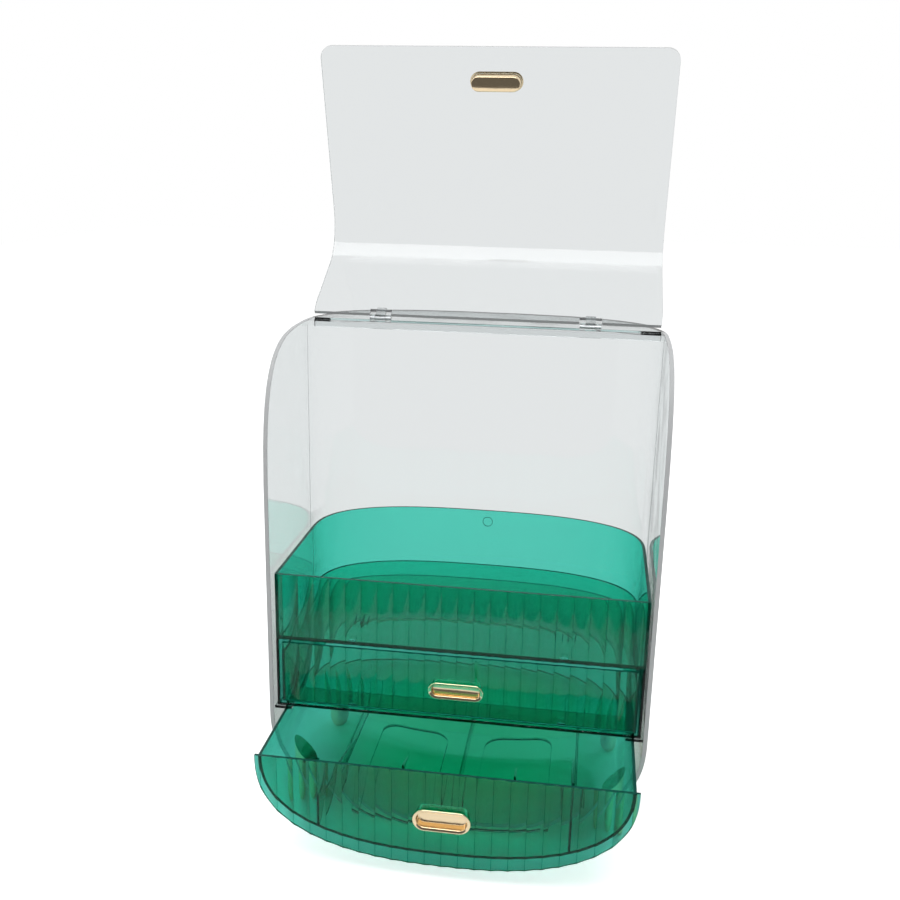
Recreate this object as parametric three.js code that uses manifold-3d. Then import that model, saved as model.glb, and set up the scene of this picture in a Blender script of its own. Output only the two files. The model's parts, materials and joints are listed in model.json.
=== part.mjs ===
// Makeup organizer with a clear round-bottomed case, a hinged clear lid, a green tray and two green drawers.
// Millimetres, +X to the right, +Y to the back, +Z up. While the pieces are made, the front edge of the case
// is y = 0 and the feet stand on z = 0. The last lines move the whole model to the middle of its floor area.
import * as THREE from 'three';
import { mergeVertices } from 'three/addons/utils/BufferGeometryUtils.js';
import Module from 'manifold-3d';

const wasm = await Module();
wasm.setup();

// Clearances
const seatGap = 0.3;            // between pieces that rest on each other
const overrun = 2;              // how far a cutter runs past what it cuts

// Case: straight side walls, a rear wall bowed in plan, and a bowl for a bottom
const caseWidth = 270;
const caseTop = 356;            // floor to the flat top behind the lid
const caseStraight = 100;       // straight run of each side wall, front to back
const caseBow = 78;             // how far the rear wall bows out behind the straight run
const caseWall = 3;
const bowlDepth = 81;           // height of the rounded bottom
const footHeight = 7;           // floor to the underside of the bowl
const planPowerShare = 2.7;     // roundness of every outline seen from above
const bowlPowerShare = 2.44;    // roundness of every outline seen from the front
const rimDrop = 160;            // height over which the side walls curve down to the front edge
const rimPowerShare = 4.3;
const railHeight = 4;           // lip under the top plate, behind the hinge line
const railThickness = 2.5;
const ledgeWidth = 12;          // ledges inside the side walls that carry the drawer housing
const ledgeThickness = 2.2;
const runnerThickness = 1.6;    // three upright rails on the bowl that carry the lower drawer
const runnerInset = 46.5;       // side of the case to the outer runners
const runnerStart = 12;
const runnerLength = 140;

// Lid: one bent sheet that lies between the side walls, with a level top and a front that leans forward
const hingeY = 120;             // case front edge to the hinge line
const hingeRise = 1.5;          // hinge axis above the flat top
const lidTopLength = 60.9;      // hinge line to the start of the bend
const lidBendRadius = 37.7;
const lidFrontLength = 125.9;   // end of the bend to the lower edge
const lidLean = 13.8;           // degrees between the shut lid's front and the upright
const lidThickness = 2.5;
const lidSideGap = 0.6;
const lidEndGap = 0.5;
const lidCornerRadius = 9;
const lidOpenAngle = 148.9;     // degrees, as it stands open
const hingeInset = 56;          // side of the case to the middle of each hinge
const hingeWidth = 16;
const lugWidth = 4;
const lugRadius = 2.4;
const lugReach = 4;
const knuckleRadius = 2.2;
const knuckleReach = 5.5;
const pinRadius = 1;

// Green stack: open tray, drawer housing, middle drawer
const frontSetback = 4.2;       // case front edge to the fluted fronts
const frontThickness = 2.5;
const flutePitch = 11.35;
const fluteDepth = 0.65;
const traySideGap = 1.5;        // tray and drawer housing to the side walls of the case
const trayDrop = 164;           // flat top of the case down to the tray's rim
const trayHeight = 50;
const trayRearGap = 5;          // tray to the rear wall of the case
const trayWall = 2.2;
const housingHeight = 52.5;
const housingFloorRim = 8;      // floor left round the opening under the middle drawer
const housingFrontBar = 24;     // the same at the front
const middleFrontGap = 2.2;     // around the middle drawer's front in its opening
const middleSideGap = 1.2;
const middleBinHeight = 40;
const middleRearGap = 6;
const binWall = 2;
const tongueWidth = 5.5;        // snap tongues on the back of the flat fronts
const tongueLength = 6;
const tongueThickness = 1.2;
const tongueInset = 55.5;       // side of the tray to the tongues
const guideLength = 13;         // pairs of low ribs on the tray floor, in line with the tongues
const guideStart = 34;
const guideGap = 5;
const guideThickness = 1;
const guideHeight = 2;

// Lower drawer: a bowl-shaped bin with a rounded front, pulled part of the way out
const lowerGap = 5;             // underside of the housing to the lower drawer
const lowerSideGap = 3;         // between the lower front and the case
const lowerBottomGap = 2.5;
const lowerPull = 58.4;         // how far it stands open
const binLip = 2.5;             // lower front past the side of its bin
const binLipBottom = 8.5;       // lower front past the bottom of its bin
const lowerRearGap = 16;        // lower bin to the rear wall of the case when shut
const gussetThickness = 1.6;
const gussetHeight = 22;
const gussetLength = 112;
const gussetRibDepth = 2.5;     // upright part of an outer gusset, behind the front
const innerFinLength = 24;      // rear end of the fin, all that the inner gussets have
const gussetInset = 43.5;       // side of the lower front to the outer gussets
const padWidth = 53;            // two raised pads on the bin floor
const padLength = 118;
const padRadius = 14;
const padRise = 0.8;
const padRearInset = 5;
const padGap = 30;              // between the two pads

// Gold flush pulls
const handleWidth = 39.5;
const lidHandleHeight = 14;
const middleHandleHeight = 12.6;
const lowerHandleHeight = 16;
const flangeWidth = 1.6;
const flangeThickness = 1.2;
const flangeBevel = 0.5;
const cupDepth = 11;
const cupWall = 1;
const recessDepth = 6.5;
const lidHandleInset = 24.7;    // lid's lower edge to the middle of its pull
const lowerHandleDrop = 35.5;   // lower front's top edge to the middle of its pull
const middleHandleDrop = 26.5;

// Feet: four tapered pegs with rounded tips
const footInset = 17;           // side of the case to the middle of each foot
const footFrontY = 24;
const footRearY = 128;
const footRadius = 9;
const footTipRadius = 4;
const footShoulderRadius = 8.2;
const footShoulderHeight = 10;

// Levels and widths that follow from the sizes above
const caseHalf = caseWidth / 2;
const caseRear = caseStraight + caseBow;
const bowlSpring = footHeight + bowlDepth;
const hingeZ = caseTop + hingeRise;
const hingeSpacing = caseHalf - hingeInset;
const runnerSpacing = caseHalf - runnerInset;
const footSpacing = caseHalf - footInset;
const binFront = frontSetback + frontThickness + seatGap;
const trayHalf = caseHalf - caseWall - traySideGap;
const tongueSpacing = trayHalf - tongueInset;
const trayBow = caseBow - caseWall - trayRearGap;
const trayTop = caseTop - trayDrop;
const trayBottom = trayTop - trayHeight;
const housingTop = trayBottom - seatGap;
const housingBottom = housingTop - housingHeight;
const middleHalf = trayHalf - trayWall - middleFrontGap;
const middleBottom = housingBottom + trayWall + middleFrontGap;
const middleTop = housingTop - middleFrontGap;
const middleBinHalf = trayHalf - trayWall - middleSideGap;
const middleBinBottom = housingBottom + trayWall + seatGap;
const lowerTop = housingBottom - lowerGap;
const lowerHalf = caseHalf - caseWall - lowerSideGap;
const lowerDepth = lowerTop - footHeight - caseWall - lowerBottomGap;
const lowerBinHalf = lowerHalf - binLip;
const outerGussetSpacing = lowerHalf - gussetInset;
const padSpacing = (padWidth + padGap) / 2;
const lowerBinDepth = lowerDepth - binLipBottom;
const lowerBinBow = caseBow - caseWall - lowerRearGap;
const lidLeanAngle = THREE.MathUtils.degToRad(lidLean);
const bendEnd = new THREE.Vector2(
  -lidTopLength - lidBendRadius * Math.cos(lidLeanAngle),
  -hingeRise - lidBendRadius * (1 - Math.sin(lidLeanAngle)));
const lidEdge = new THREE.Vector2(
  bendEnd.x - lidFrontLength * Math.sin(lidLeanAngle), bendEnd.y - lidFrontLength * Math.cos(lidLeanAngle));

// Finishes
const clearPlastic = { color: 0xe9eced, roughness: 0.05, metalness: 0, transparent: true, opacity: 0.35 };
const greenPlastic = { color: 0x1f9c78, roughness: 0.08, metalness: 0, transparent: true, opacity: 0.7 };
const gold = { color: 0xe8bd78, roughness: 0.16, metalness: 1 };
const steel = { color: 0xc4c6c8, roughness: 0.3, metalness: 1 };

// Curves

function along(steps, place) {
  return Array.from({ length: steps + 1 }, (unused, index) => place(index / steps));
}

// A point of a rounded outline with the given half width and depth; turn runs from 0 to 1 over half of it.
function roundedPoint(turn, halfWidth, depth, power) {
  const across = Math.cos(Math.PI * turn);
  const back = Math.sin(Math.PI * turn);
  const exponent = 2 / power;
  return [halfWidth * Math.sign(across) * Math.abs(across) ** exponent, depth * Math.abs(back) ** exponent];
}

// Outline from above: open side at front, straight sides, then the bowed rear.
function planOutline(halfWidth, front, straight, bow, steps = 36) {
  const rear = along(steps, (turn) => {
    const [x, y] = roundedPoint(turn, halfWidth, bow, planPowerShare);
    return new THREE.Vector2(x, straight + y);
  });
  return [new THREE.Vector2(halfWidth, front), ...rear, new THREE.Vector2(-halfWidth, front)];
}

// Outline from the front: a level top edge, sides down to the spring line, then the rounded bottom.
function bowlOutline(halfWidth, top, spring, depth, steps = 40) {
  const bottom = along(steps, (turn) => {
    const [x, z] = roundedPoint(turn, halfWidth, depth, bowlPowerShare);
    return new THREE.Vector2(-x, spring - z);
  });
  const corners = top > spring ? [new THREE.Vector2(halfWidth, top), new THREE.Vector2(-halfWidth, top)] : [];
  return [...corners, ...bottom];
}

// Height of the rounded bottom below its spring line at a distance from the middle.
function bowlDrop(distance, halfWidth, depth) {
  return depth * (1 - (distance / halfWidth) ** bowlPowerShare) ** (1 / bowlPowerShare);
}

// Side walls' rim, seen from the side: points (y, z) from the hinge to the front.
function rimCurve(steps = 28) {
  return along(steps, (turn) => {
    const angle = (Math.PI / 2) * turn;
    const exponent = 2 / rimPowerShare;
    const y = hingeY * (1 - Math.sin(angle) ** exponent);
    const z = caseTop - rimDrop * (1 - Math.abs(Math.cos(angle)) ** exponent);
    return new THREE.Vector2(y, z);
  });
}

// A flat oval with straight top and bottom, around a centre (x, z).
function ovalOutline(width, height, centreZ, steps = 10) {
  const radius = height / 2;
  const reach = width / 2 - radius;
  const right = along(steps, (turn) => {
    const angle = Math.PI * (turn - 1 / 2);
    return new THREE.Vector2(reach + radius * Math.cos(angle), centreZ + radius * Math.sin(angle));
  });
  const left = right.map((point) => new THREE.Vector2(-point.x, 2 * centreZ - point.y));
  return [...right, ...left];
}

// Solids

function solidOf(geometry) {
  const bare = geometry.index ? geometry.toNonIndexed() : geometry.clone();
  bare.deleteAttribute('normal');
  bare.deleteAttribute('uv');
  const merged = mergeVertices(bare);
  return new wasm.Manifold(new wasm.Mesh({
    numProp: 3,
    vertProperties: new Float32Array(merged.attributes.position.array),
    triVerts: new Uint32Array(merged.index.array),
  }));
}

function extruded(outline, depth) {
  return new THREE.ExtrudeGeometry(new THREE.Shape(outline), { depth, bevelEnabled: false });
}

// An outline (x, y) raised from one level to another.
function raised(outline, low, high) {
  const geometry = extruded(outline, high - low);
  geometry.translate(0, 0, low);
  return solidOf(geometry);
}

// An outline (x, z) drawn out from front to rear, and then placed.
function drawnBack(outline, front, rear, place = new THREE.Matrix4()) {
  const geometry = extruded(outline, rear - front);
  geometry.rotateX(Math.PI / 2);
  geometry.translate(0, rear, 0);
  geometry.applyMatrix4(place);
  return solidOf(geometry);
}

// An outline (y, z) drawn out from left to right.
function drawnAcross(outline, left, right) {
  const geometry = extruded(outline, right - left);
  const turnAxes = new THREE.Matrix4().makeBasis(
    new THREE.Vector3(0, 1, 0), new THREE.Vector3(0, 0, 1), new THREE.Vector3(1, 0, 0));
  geometry.applyMatrix4(turnAxes);
  geometry.translate(left, 0, 0);
  return solidOf(geometry);
}

function block(left, right, front, rear, low, high) {
  const geometry = new THREE.BoxGeometry(right - left, rear - front, high - low);
  geometry.translate((left + right) / 2, (front + rear) / 2, (low + high) / 2);
  return solidOf(geometry);
}

// A round bar along X, centred at (x, y, z).
function crossBar(radius, length, x, y, z) {
  const geometry = new THREE.CylinderGeometry(radius, radius, length, 24);
  geometry.rotateZ(Math.PI / 2);
  geometry.translate(x, y, z);
  return solidOf(geometry);
}

function joined(solids) {
  return solids.reduce((whole, solid) => whole.add(solid));
}

function meshOf(name, solid, finish) {
  const { vertProperties, triVerts } = solid.getMesh();
  const geometry = new THREE.BufferGeometry();
  geometry.setAttribute('position', new THREE.BufferAttribute(vertProperties, 3));
  geometry.setIndex(new THREE.BufferAttribute(triVerts, 1));
  geometry.computeVertexNormals();
  const mesh = new THREE.Mesh(geometry, new THREE.MeshStandardMaterial(finish));
  mesh.name = name;
  return mesh;
}

// Both sides of the organizer
const sides = [{ side: -1, word: 'left' }, { side: 1, word: 'right' }];

// Case

// The space inside the case's outer surface, drawn in by an inset.
function caseSpace(inset, front, top) {
  const plan = raised(planOutline(caseHalf - inset, front, caseStraight, caseBow - inset), 0, top);
  const outline = bowlOutline(caseHalf - inset, top, bowlSpring, bowlDepth - inset);
  return plan.intersect(drawnBack(outline, front, caseRear + overrun));
}

function hingeLug(x) {
  const arc = along(10, (turn) => new THREE.Vector2(
    hingeY + lugRadius * Math.cos(Math.PI * turn), hingeZ + lugRadius * Math.sin(Math.PI * turn)));
  const base = caseTop - caseWall;
  const outline = [
    new THREE.Vector2(hingeY - lugRadius, base), new THREE.Vector2(hingeY + lugReach, base),
    new THREE.Vector2(hingeY + lugReach, caseTop), ...arc];
  return drawnAcross(outline, x - lugWidth / 2, x + lugWidth / 2);
}

function caseShell() {
  const innerHalf = caseHalf - caseWall;
  const plateFront = hingeY + lidEndGap;
  const underTop = caseTop - caseWall;
  let shell = caseSpace(0, 0, caseTop).subtract(caseSpace(caseWall, -overrun, underTop));

  // Open front corner over the rim curve, and the mouth between the side walls
  const rim = rimCurve();
  const aboveRim = [
    ...rim, new THREE.Vector2(-overrun, caseTop - rimDrop), new THREE.Vector2(-overrun, caseTop + overrun),
    new THREE.Vector2(hingeY, caseTop + overrun)];
  shell = shell.subtract(drawnAcross(aboveRim, -caseHalf - overrun, caseHalf + overrun));
  const mouthLow = underTop - overrun;
  shell = shell.subtract(block(-innerHalf, innerHalf, -overrun, plateFront, mouthLow, caseTop + overrun));

  // Lip that stiffens the top plate along the hinge line
  const lip = block(-caseHalf + caseWall / 2, caseHalf - caseWall / 2, plateFront, plateFront + railThickness,
    underTop - railHeight, underTop + caseWall / 2);
  shell = shell.add(lip);

  // Hinge lugs, with a hollow between each pair for the lid's knuckle
  const lugOffset = (hingeWidth - lugWidth) / 2;
  const knuckleSpace = lugOffset - lugWidth / 2;
  const bore = pinRadius + seatGap;
  for (const { side } of sides) {
    const x = side * hingeSpacing;
    const hollowRear = hingeY + knuckleRadius + seatGap;
    const hollowLow = hingeZ - knuckleRadius - seatGap;
    shell = shell.subtract(block(x - knuckleSpace, x + knuckleSpace, hingeY, hollowRear, hollowLow,
      caseTop + overrun));
    shell = shell.add(hingeLug(x - lugOffset)).add(hingeLug(x + lugOffset));
    shell = shell.subtract(crossBar(bore, hingeWidth + overrun, x, hingeY, hingeZ));
  }

  // Ledges under the housing, and runners under the lower drawer
  const inside = caseSpace(caseWall / 2, 0, underTop);
  const ledgeTop = housingBottom - seatGap;
  const ledges = sides.map(({ side }) => {
    const edges = [side * (innerHalf - ledgeWidth), side * caseHalf].sort((a, b) => a - b);
    return block(edges[0], edges[1], frontSetback, caseStraight, ledgeTop - ledgeThickness, ledgeTop);
  });
  const drawerSpace = lowerBinSpace(-seatGap, -overrun, caseRear, overrun);
  const runners = [-runnerSpacing, 0, runnerSpacing].map((x) => block(
    x - runnerThickness / 2, x + runnerThickness / 2, runnerStart, runnerStart + runnerLength,
    0, lowerTop).subtract(drawerSpace));
  return shell.add(joined([...ledges, ...runners]).intersect(inside));
}

// Lid, made shut and about the hinge axis

// The lid's front panel: its lower edge lies along X through the origin and its outer face is y = 0.
function frontPanelGroup() {
  const group = new THREE.Group();
  group.position.set(0, lidEdge.x, lidEdge.y);
  group.rotation.x = -lidLeanAngle;
  group.updateMatrix();
  return group;
}

// The bent sheet from the side, at a depth under its outer face: points (y, z) from the hinge to the edge.
function sheetLine(depth) {
  const radius = lidBendRadius - depth;
  const bend = along(12, (turn) => {
    const angle = (Math.PI / 2 - lidLeanAngle) * turn;
    return new THREE.Vector2(
      -lidTopLength - radius * Math.sin(angle), -hingeRise - lidBendRadius + radius * Math.cos(angle));
  });
  const start = new THREE.Vector2(-lidEndGap, -hingeRise - depth);
  const edge = new THREE.Vector2(
    lidEdge.x + depth * Math.cos(lidLeanAngle), lidEdge.y - depth * Math.sin(lidLeanAngle));
  return [start, ...bend, edge];
}

// What is cut away at a free corner of the lid's front panel.
function cornerOffcut(half) {
  const middle = half - lidCornerRadius;
  const corner = along(8, (turn) => {
    const angle = (Math.PI / 2) * turn;
    return new THREE.Vector2(
      middle + lidCornerRadius * Math.sin(angle), lidCornerRadius * (1 - Math.cos(angle)));
  });
  return [
    new THREE.Vector2(middle, -overrun), ...corner,
    new THREE.Vector2(half + overrun, lidCornerRadius), new THREE.Vector2(half + overrun, -overrun)];
}

function lidPanel() {
  const half = caseHalf - caseWall - lidSideGap;
  let panel = drawnAcross([...sheetLine(0), ...sheetLine(lidThickness).reverse()], -half, half);
  const front = frontPanelGroup().matrix;
  for (const { side } of sides) {
    const offcut = cornerOffcut(half).map((point) => new THREE.Vector2(side * point.x, point.y));
    panel = panel.subtract(drawnBack(offcut, -overrun, lidThickness + overrun, front));
  }

  // Notches around the hinges, then a knuckle on a web in each
  const lugOffset = (hingeWidth - lugWidth) / 2;
  const knuckleHalf = lugOffset - lugWidth / 2 - seatGap;
  const webTop = -hingeRise;
  for (const { side } of sides) {
    const x = side * hingeSpacing;
    const notchHalf = hingeWidth / 2 + seatGap;
    panel = panel.subtract(block(x - notchHalf, x + notchHalf, -knuckleReach, overrun,
      webTop - lidThickness - overrun, overrun));
    panel = panel.add(block(x - knuckleHalf, x + knuckleHalf, -knuckleReach - overrun, 0,
      webTop - lidThickness / 2, webTop));
    panel = panel.add(crossBar(knuckleRadius, 2 * knuckleHalf, x, 0, 0));
    panel = panel.subtract(crossBar(pinRadius + seatGap, hingeWidth, x, 0, 0));
  }
  const hole = ovalOutline(...cupSize(lidHandleHeight, -seatGap), lidHandleInset);
  return panel.subtract(drawnBack(hole, -overrun, lidThickness + overrun, front));
}

// Gold pulls

// Width and height of a pull's cup, drawn in by an inset.
function cupSize(height, inset) {
  return [handleWidth - 2 * (flangeWidth + inset), height - 2 * (flangeWidth + inset)];
}

// A flush pull whose flange lies on a panel face at y = face, with the cup behind it.
function flushPull(height, face, centreZ) {
  const flangeBack = face - seatGap;
  const flangeFront = flangeBack - flangeThickness;
  const brow = drawnBack(ovalOutline(handleWidth - 2 * flangeBevel, height - 2 * flangeBevel, centreZ),
    flangeFront, flangeBack);
  const flange = drawnBack(ovalOutline(handleWidth, height, centreZ), flangeFront + flangeBevel, flangeBack);
  const cup = drawnBack(ovalOutline(...cupSize(height, 0), centreZ), flangeFront, flangeFront + cupDepth);
  const recess = drawnBack(ovalOutline(...cupSize(height, cupWall), centreZ),
    flangeFront - overrun, flangeFront + recessDepth);
  return joined([brow, flange, cup]).subtract(recess);
}

// Fluted fronts

// A slab whose front face carries hollow upright flutes.
function flutedSlab(halfWidth, face, low, high) {
  const flutes = Math.ceil(halfWidth / flutePitch);
  const stepsPerFlute = 4;
  const edge = along(2 * flutes * stepsPerFlute, (turn) => {
    const x = flutePitch * flutes * (2 * turn - 1);
    const offset = 2 * (x / flutePitch - Math.floor(x / flutePitch)) - 1;
    const hollow = fluteDepth * (1 - offset ** 2);
    return new THREE.Vector2(x, face + Math.max(hollow, 0));
  });
  const back = face + frontThickness;
  const reach = flutePitch * flutes;
  return raised([...edge, new THREE.Vector2(reach, back), new THREE.Vector2(-reach, back)], low, high);
}

function flutedFront(outline, halfWidth, low, high) {
  const slab = flutedSlab(halfWidth, frontSetback, low, high);
  return slab.intersect(drawnBack(outline, frontSetback - overrun, frontSetback + frontThickness + overrun));
}

function rectangle(halfWidth, low, high) {
  return [new THREE.Vector2(-halfWidth, low), new THREE.Vector2(halfWidth, low),
    new THREE.Vector2(halfWidth, high), new THREE.Vector2(-halfWidth, high)];
}

function pullHole(height, centreZ) {
  const outline = ovalOutline(...cupSize(height, -seatGap), centreZ);
  return drawnBack(outline, frontSetback - overrun, frontSetback + frontThickness + overrun);
}

// Pairs of snap tongues that reach back over a bin's floor.
function tongues(floorTop) {
  const low = floorTop + seatGap;
  const root = frontSetback + frontThickness;
  return joined(sides.map(({ side }) => {
    const x = side * tongueSpacing;
    return block(x - tongueWidth / 2, x + tongueWidth / 2, root - frontThickness / 2, root + tongueLength,
      low, low + tongueThickness);
  }));
}

// Pairs of low ribs on a tray floor.
function floorGuides(floorTop) {
  const offset = (guideGap + guideThickness) / 2;
  const middles = sides.flatMap(({ side }) => [side * tongueSpacing - offset, side * tongueSpacing + offset]);
  return joined(middles.map((x) => block(x - guideThickness / 2, x + guideThickness / 2,
    guideStart, guideStart + guideLength, floorTop - trayWall / 2, floorTop + guideHeight)));
}

// Bins

// A tray-like bin, open at the top and at the front, with a bowed rear.
function flatBin(halfWidth, front, bow, low, high, thickness) {
  const outer = raised(planOutline(halfWidth, front, caseStraight, bow), low, high);
  const inner = raised(planOutline(halfWidth - thickness, front - overrun, caseStraight, bow - thickness),
    low + thickness, high + overrun);
  return outer.subtract(inner);
}

// The space inside the lower bin's outer surface, drawn in by an inset, as it lies when the drawer is shut.
function lowerBinSpace(inset, front, rear, above) {
  const half = lowerBinHalf - inset;
  const outline = bowlOutline(half, lowerTop + above, lowerTop, lowerBinDepth - inset);
  return drawnBack(outline, front, rear);
}

function lowerBinPlan(inset, front) {
  return raised(planOutline(lowerBinHalf - inset, front, caseStraight, lowerBinBow - inset), 0, caseTop);
}

function lowerBin() {
  const outer = lowerBinSpace(0, binFront, caseRear, 0).intersect(lowerBinPlan(0, binFront));
  const openFront = binFront - overrun;
  const inner = lowerBinSpace(binWall, openFront, caseRear, overrun)
    .intersect(lowerBinPlan(binWall, openFront));
  const shell = outer.subtract(inner);

  // Upright gussets inside the bin. An outer one has a rib behind the front and a fin that slopes down to the
  // floor, an inner one only the rear end of the fin.
  const room = lowerBinSpace(binWall / 2, binFront, caseRear, overrun);
  const finFront = binFront + gussetRibDepth;
  const finRear = frontSetback + gussetLength;
  const innerFront = finRear - innerFinLength;
  const gusset = (x, outlineOn) => {
    const floor = lowerTop - bowlDrop(Math.abs(x), lowerBinHalf - binWall, lowerBinDepth - binWall);
    const outline = outlineOn(floor).map(([y, z]) => new THREE.Vector2(y, z));
    return drawnAcross(outline, x - gussetThickness / 2, x + gussetThickness / 2).intersect(room);
  };
  const outerOutline = (floor) => [
    [binFront, floor - binWall], [finRear, floor - binWall], [finRear, floor],
    [finFront, floor + gussetHeight], [finFront, lowerTop], [binFront, lowerTop]];
  const innerOutline = (floor) => [
    [innerFront, floor - binWall], [finRear, floor - binWall], [finRear, floor],
    [innerFront, floor + (gussetHeight * innerFinLength) / (finRear - finFront)]];
  const gussets = sides.flatMap(({ side }) => [
    gusset(side * outerGussetSpacing, outerOutline), gusset(side * outerGussetSpacing / 2, innerOutline)]);

  // Raised pads, as thick as the strip between the floor and the floor lifted by their rise
  const padRear = caseStraight + lowerBinBow - binWall - padRearInset;
  const layer = lowerBinSpace(binWall / 2, binFront, caseRear, 0).subtract(
    lowerBinSpace(binWall + padRise, binFront - overrun, caseRear + overrun, overrun));
  const pads = sides.map(({ side }) => raised(padOutline(side * padSpacing, padRear), 0, lowerTop - padRadius)
    .intersect(layer));
  return joined([shell, ...gussets, ...pads]);
}

// A pad seen from above: straight sides and two rounded rear corners.
function padOutline(centreX, rear) {
  const half = padWidth / 2;
  const corner = along(6, (turn) => {
    const angle = (Math.PI / 2) * turn;
    return [half - padRadius * (1 - Math.cos(angle)), rear - padRadius * (1 - Math.sin(angle))];
  });
  const right = corner.map(([x, y]) => new THREE.Vector2(centreX + x, y));
  const left = corner.map(([x, y]) => new THREE.Vector2(centreX - x, y)).reverse();
  const front = rear - padLength;
  return [
    new THREE.Vector2(centreX + half, front), ...right, ...left, new THREE.Vector2(centreX - half, front)];
}

// Feet

function foot(x, y) {
  const top = bowlSpring - bowlDrop(Math.abs(x) + footRadius, caseHalf, bowlDepth);
  const profile = [
    new THREE.Vector2(0, 0), new THREE.Vector2(footTipRadius, 0),
    new THREE.Vector2((footTipRadius + footShoulderRadius) / 2 + flangeBevel, footShoulderHeight / 3),
    new THREE.Vector2(footShoulderRadius, footShoulderHeight),
    new THREE.Vector2(footRadius, top), new THREE.Vector2(0, top)];
  const geometry = new THREE.LatheGeometry(profile, 28);
  geometry.rotateX(Math.PI / 2);
  geometry.translate(x, y, 0);
  return solidOf(geometry).subtract(caseSpace(-seatGap, -overrun, caseTop));
}

// Assembly
const organizer = new THREE.Group();

organizer.add(meshOf('case_shell', caseShell(), clearPlastic));
for (const { side, word } of sides) {
  organizer.add(meshOf(`foot_front_${word}`, foot(side * footSpacing, footFrontY), gold));
  organizer.add(meshOf(`foot_rear_${word}`, foot(side * footSpacing, footRearY), gold));
  const pin = crossBar(pinRadius, hingeWidth, side * hingeSpacing, hingeY, hingeZ);
  organizer.add(meshOf(`hinge_pin_${word}`, pin, steel));
}

const lid = new THREE.Group();
lid.position.set(0, hingeY, hingeZ);
lid.rotation.x = THREE.MathUtils.degToRad(-lidOpenAngle);
lid.add(meshOf('lid_panel', lidPanel(), clearPlastic));
const lidFront = frontPanelGroup();
lidFront.add(meshOf('lid_handle', flushPull(lidHandleHeight, 0, lidHandleInset), gold));
lid.add(lidFront);
organizer.add(lid);

const trayFront = flutedFront(rectangle(trayHalf, trayBottom, trayTop), trayHalf, trayBottom, trayTop)
  .add(tongues(trayBottom + trayWall));
const tray = flatBin(trayHalf, binFront, trayBow, trayBottom, trayTop, trayWall)
  .add(floorGuides(trayBottom + trayWall));
organizer.add(meshOf('upper_tray', tray, greenPlastic));
organizer.add(meshOf('upper_tray_front', trayFront, greenPlastic));
const housingInset = trayWall + housingFloorRim;
const housingOpening = planOutline(trayHalf - housingInset, frontSetback + housingFrontBar, caseStraight,
  trayBow - housingInset);
const housing = flatBin(trayHalf, frontSetback, trayBow, housingBottom, housingTop, trayWall)
  .subtract(raised(housingOpening, housingBottom - overrun, housingBottom + trayWall + overrun));
organizer.add(meshOf('drawer_housing', housing, greenPlastic));

const middleDrawer = new THREE.Group();
const middleBinTop = middleBinBottom + middleBinHeight;
const middleBow = trayBow - trayWall - middleRearGap;
const middleBin = flatBin(middleBinHalf, binFront, middleBow, middleBinBottom, middleBinTop, binWall);
const middleHandleZ = middleTop - middleHandleDrop;
const middleOutline = rectangle(middleHalf, middleBottom, middleTop);
const middleFront = flutedFront(middleOutline, middleHalf, middleBottom, middleTop)
  .add(tongues(middleBinBottom + binWall))
  .subtract(pullHole(middleHandleHeight, middleHandleZ));
middleDrawer.add(meshOf('middle_drawer', middleBin, greenPlastic));
middleDrawer.add(meshOf('middle_drawer_front', middleFront, greenPlastic));
middleDrawer.add(meshOf('middle_handle', flushPull(middleHandleHeight, frontSetback, middleHandleZ), gold));
organizer.add(middleDrawer);

const lowerDrawer = new THREE.Group();
lowerDrawer.position.y = -lowerPull;
const lowerHandleZ = lowerTop - lowerHandleDrop;
const lowerOutline = bowlOutline(lowerHalf, lowerTop, lowerTop, lowerDepth);
const lowerFront = flutedFront(lowerOutline, lowerHalf, lowerTop - lowerDepth, lowerTop)
  .subtract(pullHole(lowerHandleHeight, lowerHandleZ));
lowerDrawer.add(meshOf('lower_drawer', lowerBin(), greenPlastic));
lowerDrawer.add(meshOf('lower_drawer_front', lowerFront, greenPlastic));
lowerDrawer.add(meshOf('lower_handle', flushPull(lowerHandleHeight, frontSetback, lowerHandleZ), gold));
organizer.add(lowerDrawer);

// Move the origin to the floor under the middle of the model as it stands open
const bounds = new THREE.Box3().setFromObject(organizer, true);
const middle = bounds.getCenter(new THREE.Vector3());
organizer.position.set(-middle.x, -middle.y, -bounds.min.z);

export default organizer;
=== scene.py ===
"""Makeup organizer: a clear case with a flip lid, a green tray and two green drawers, with gold pulls.

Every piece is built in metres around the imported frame. The sizes are properties in the sidebar. Places along
Y are measured from the case's front edge, which the frame gives.
"""
import json
import math

import bmesh
import bpy
from mathutils import Matrix, Vector
from mathutils.geometry import tessellate_polygon


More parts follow.
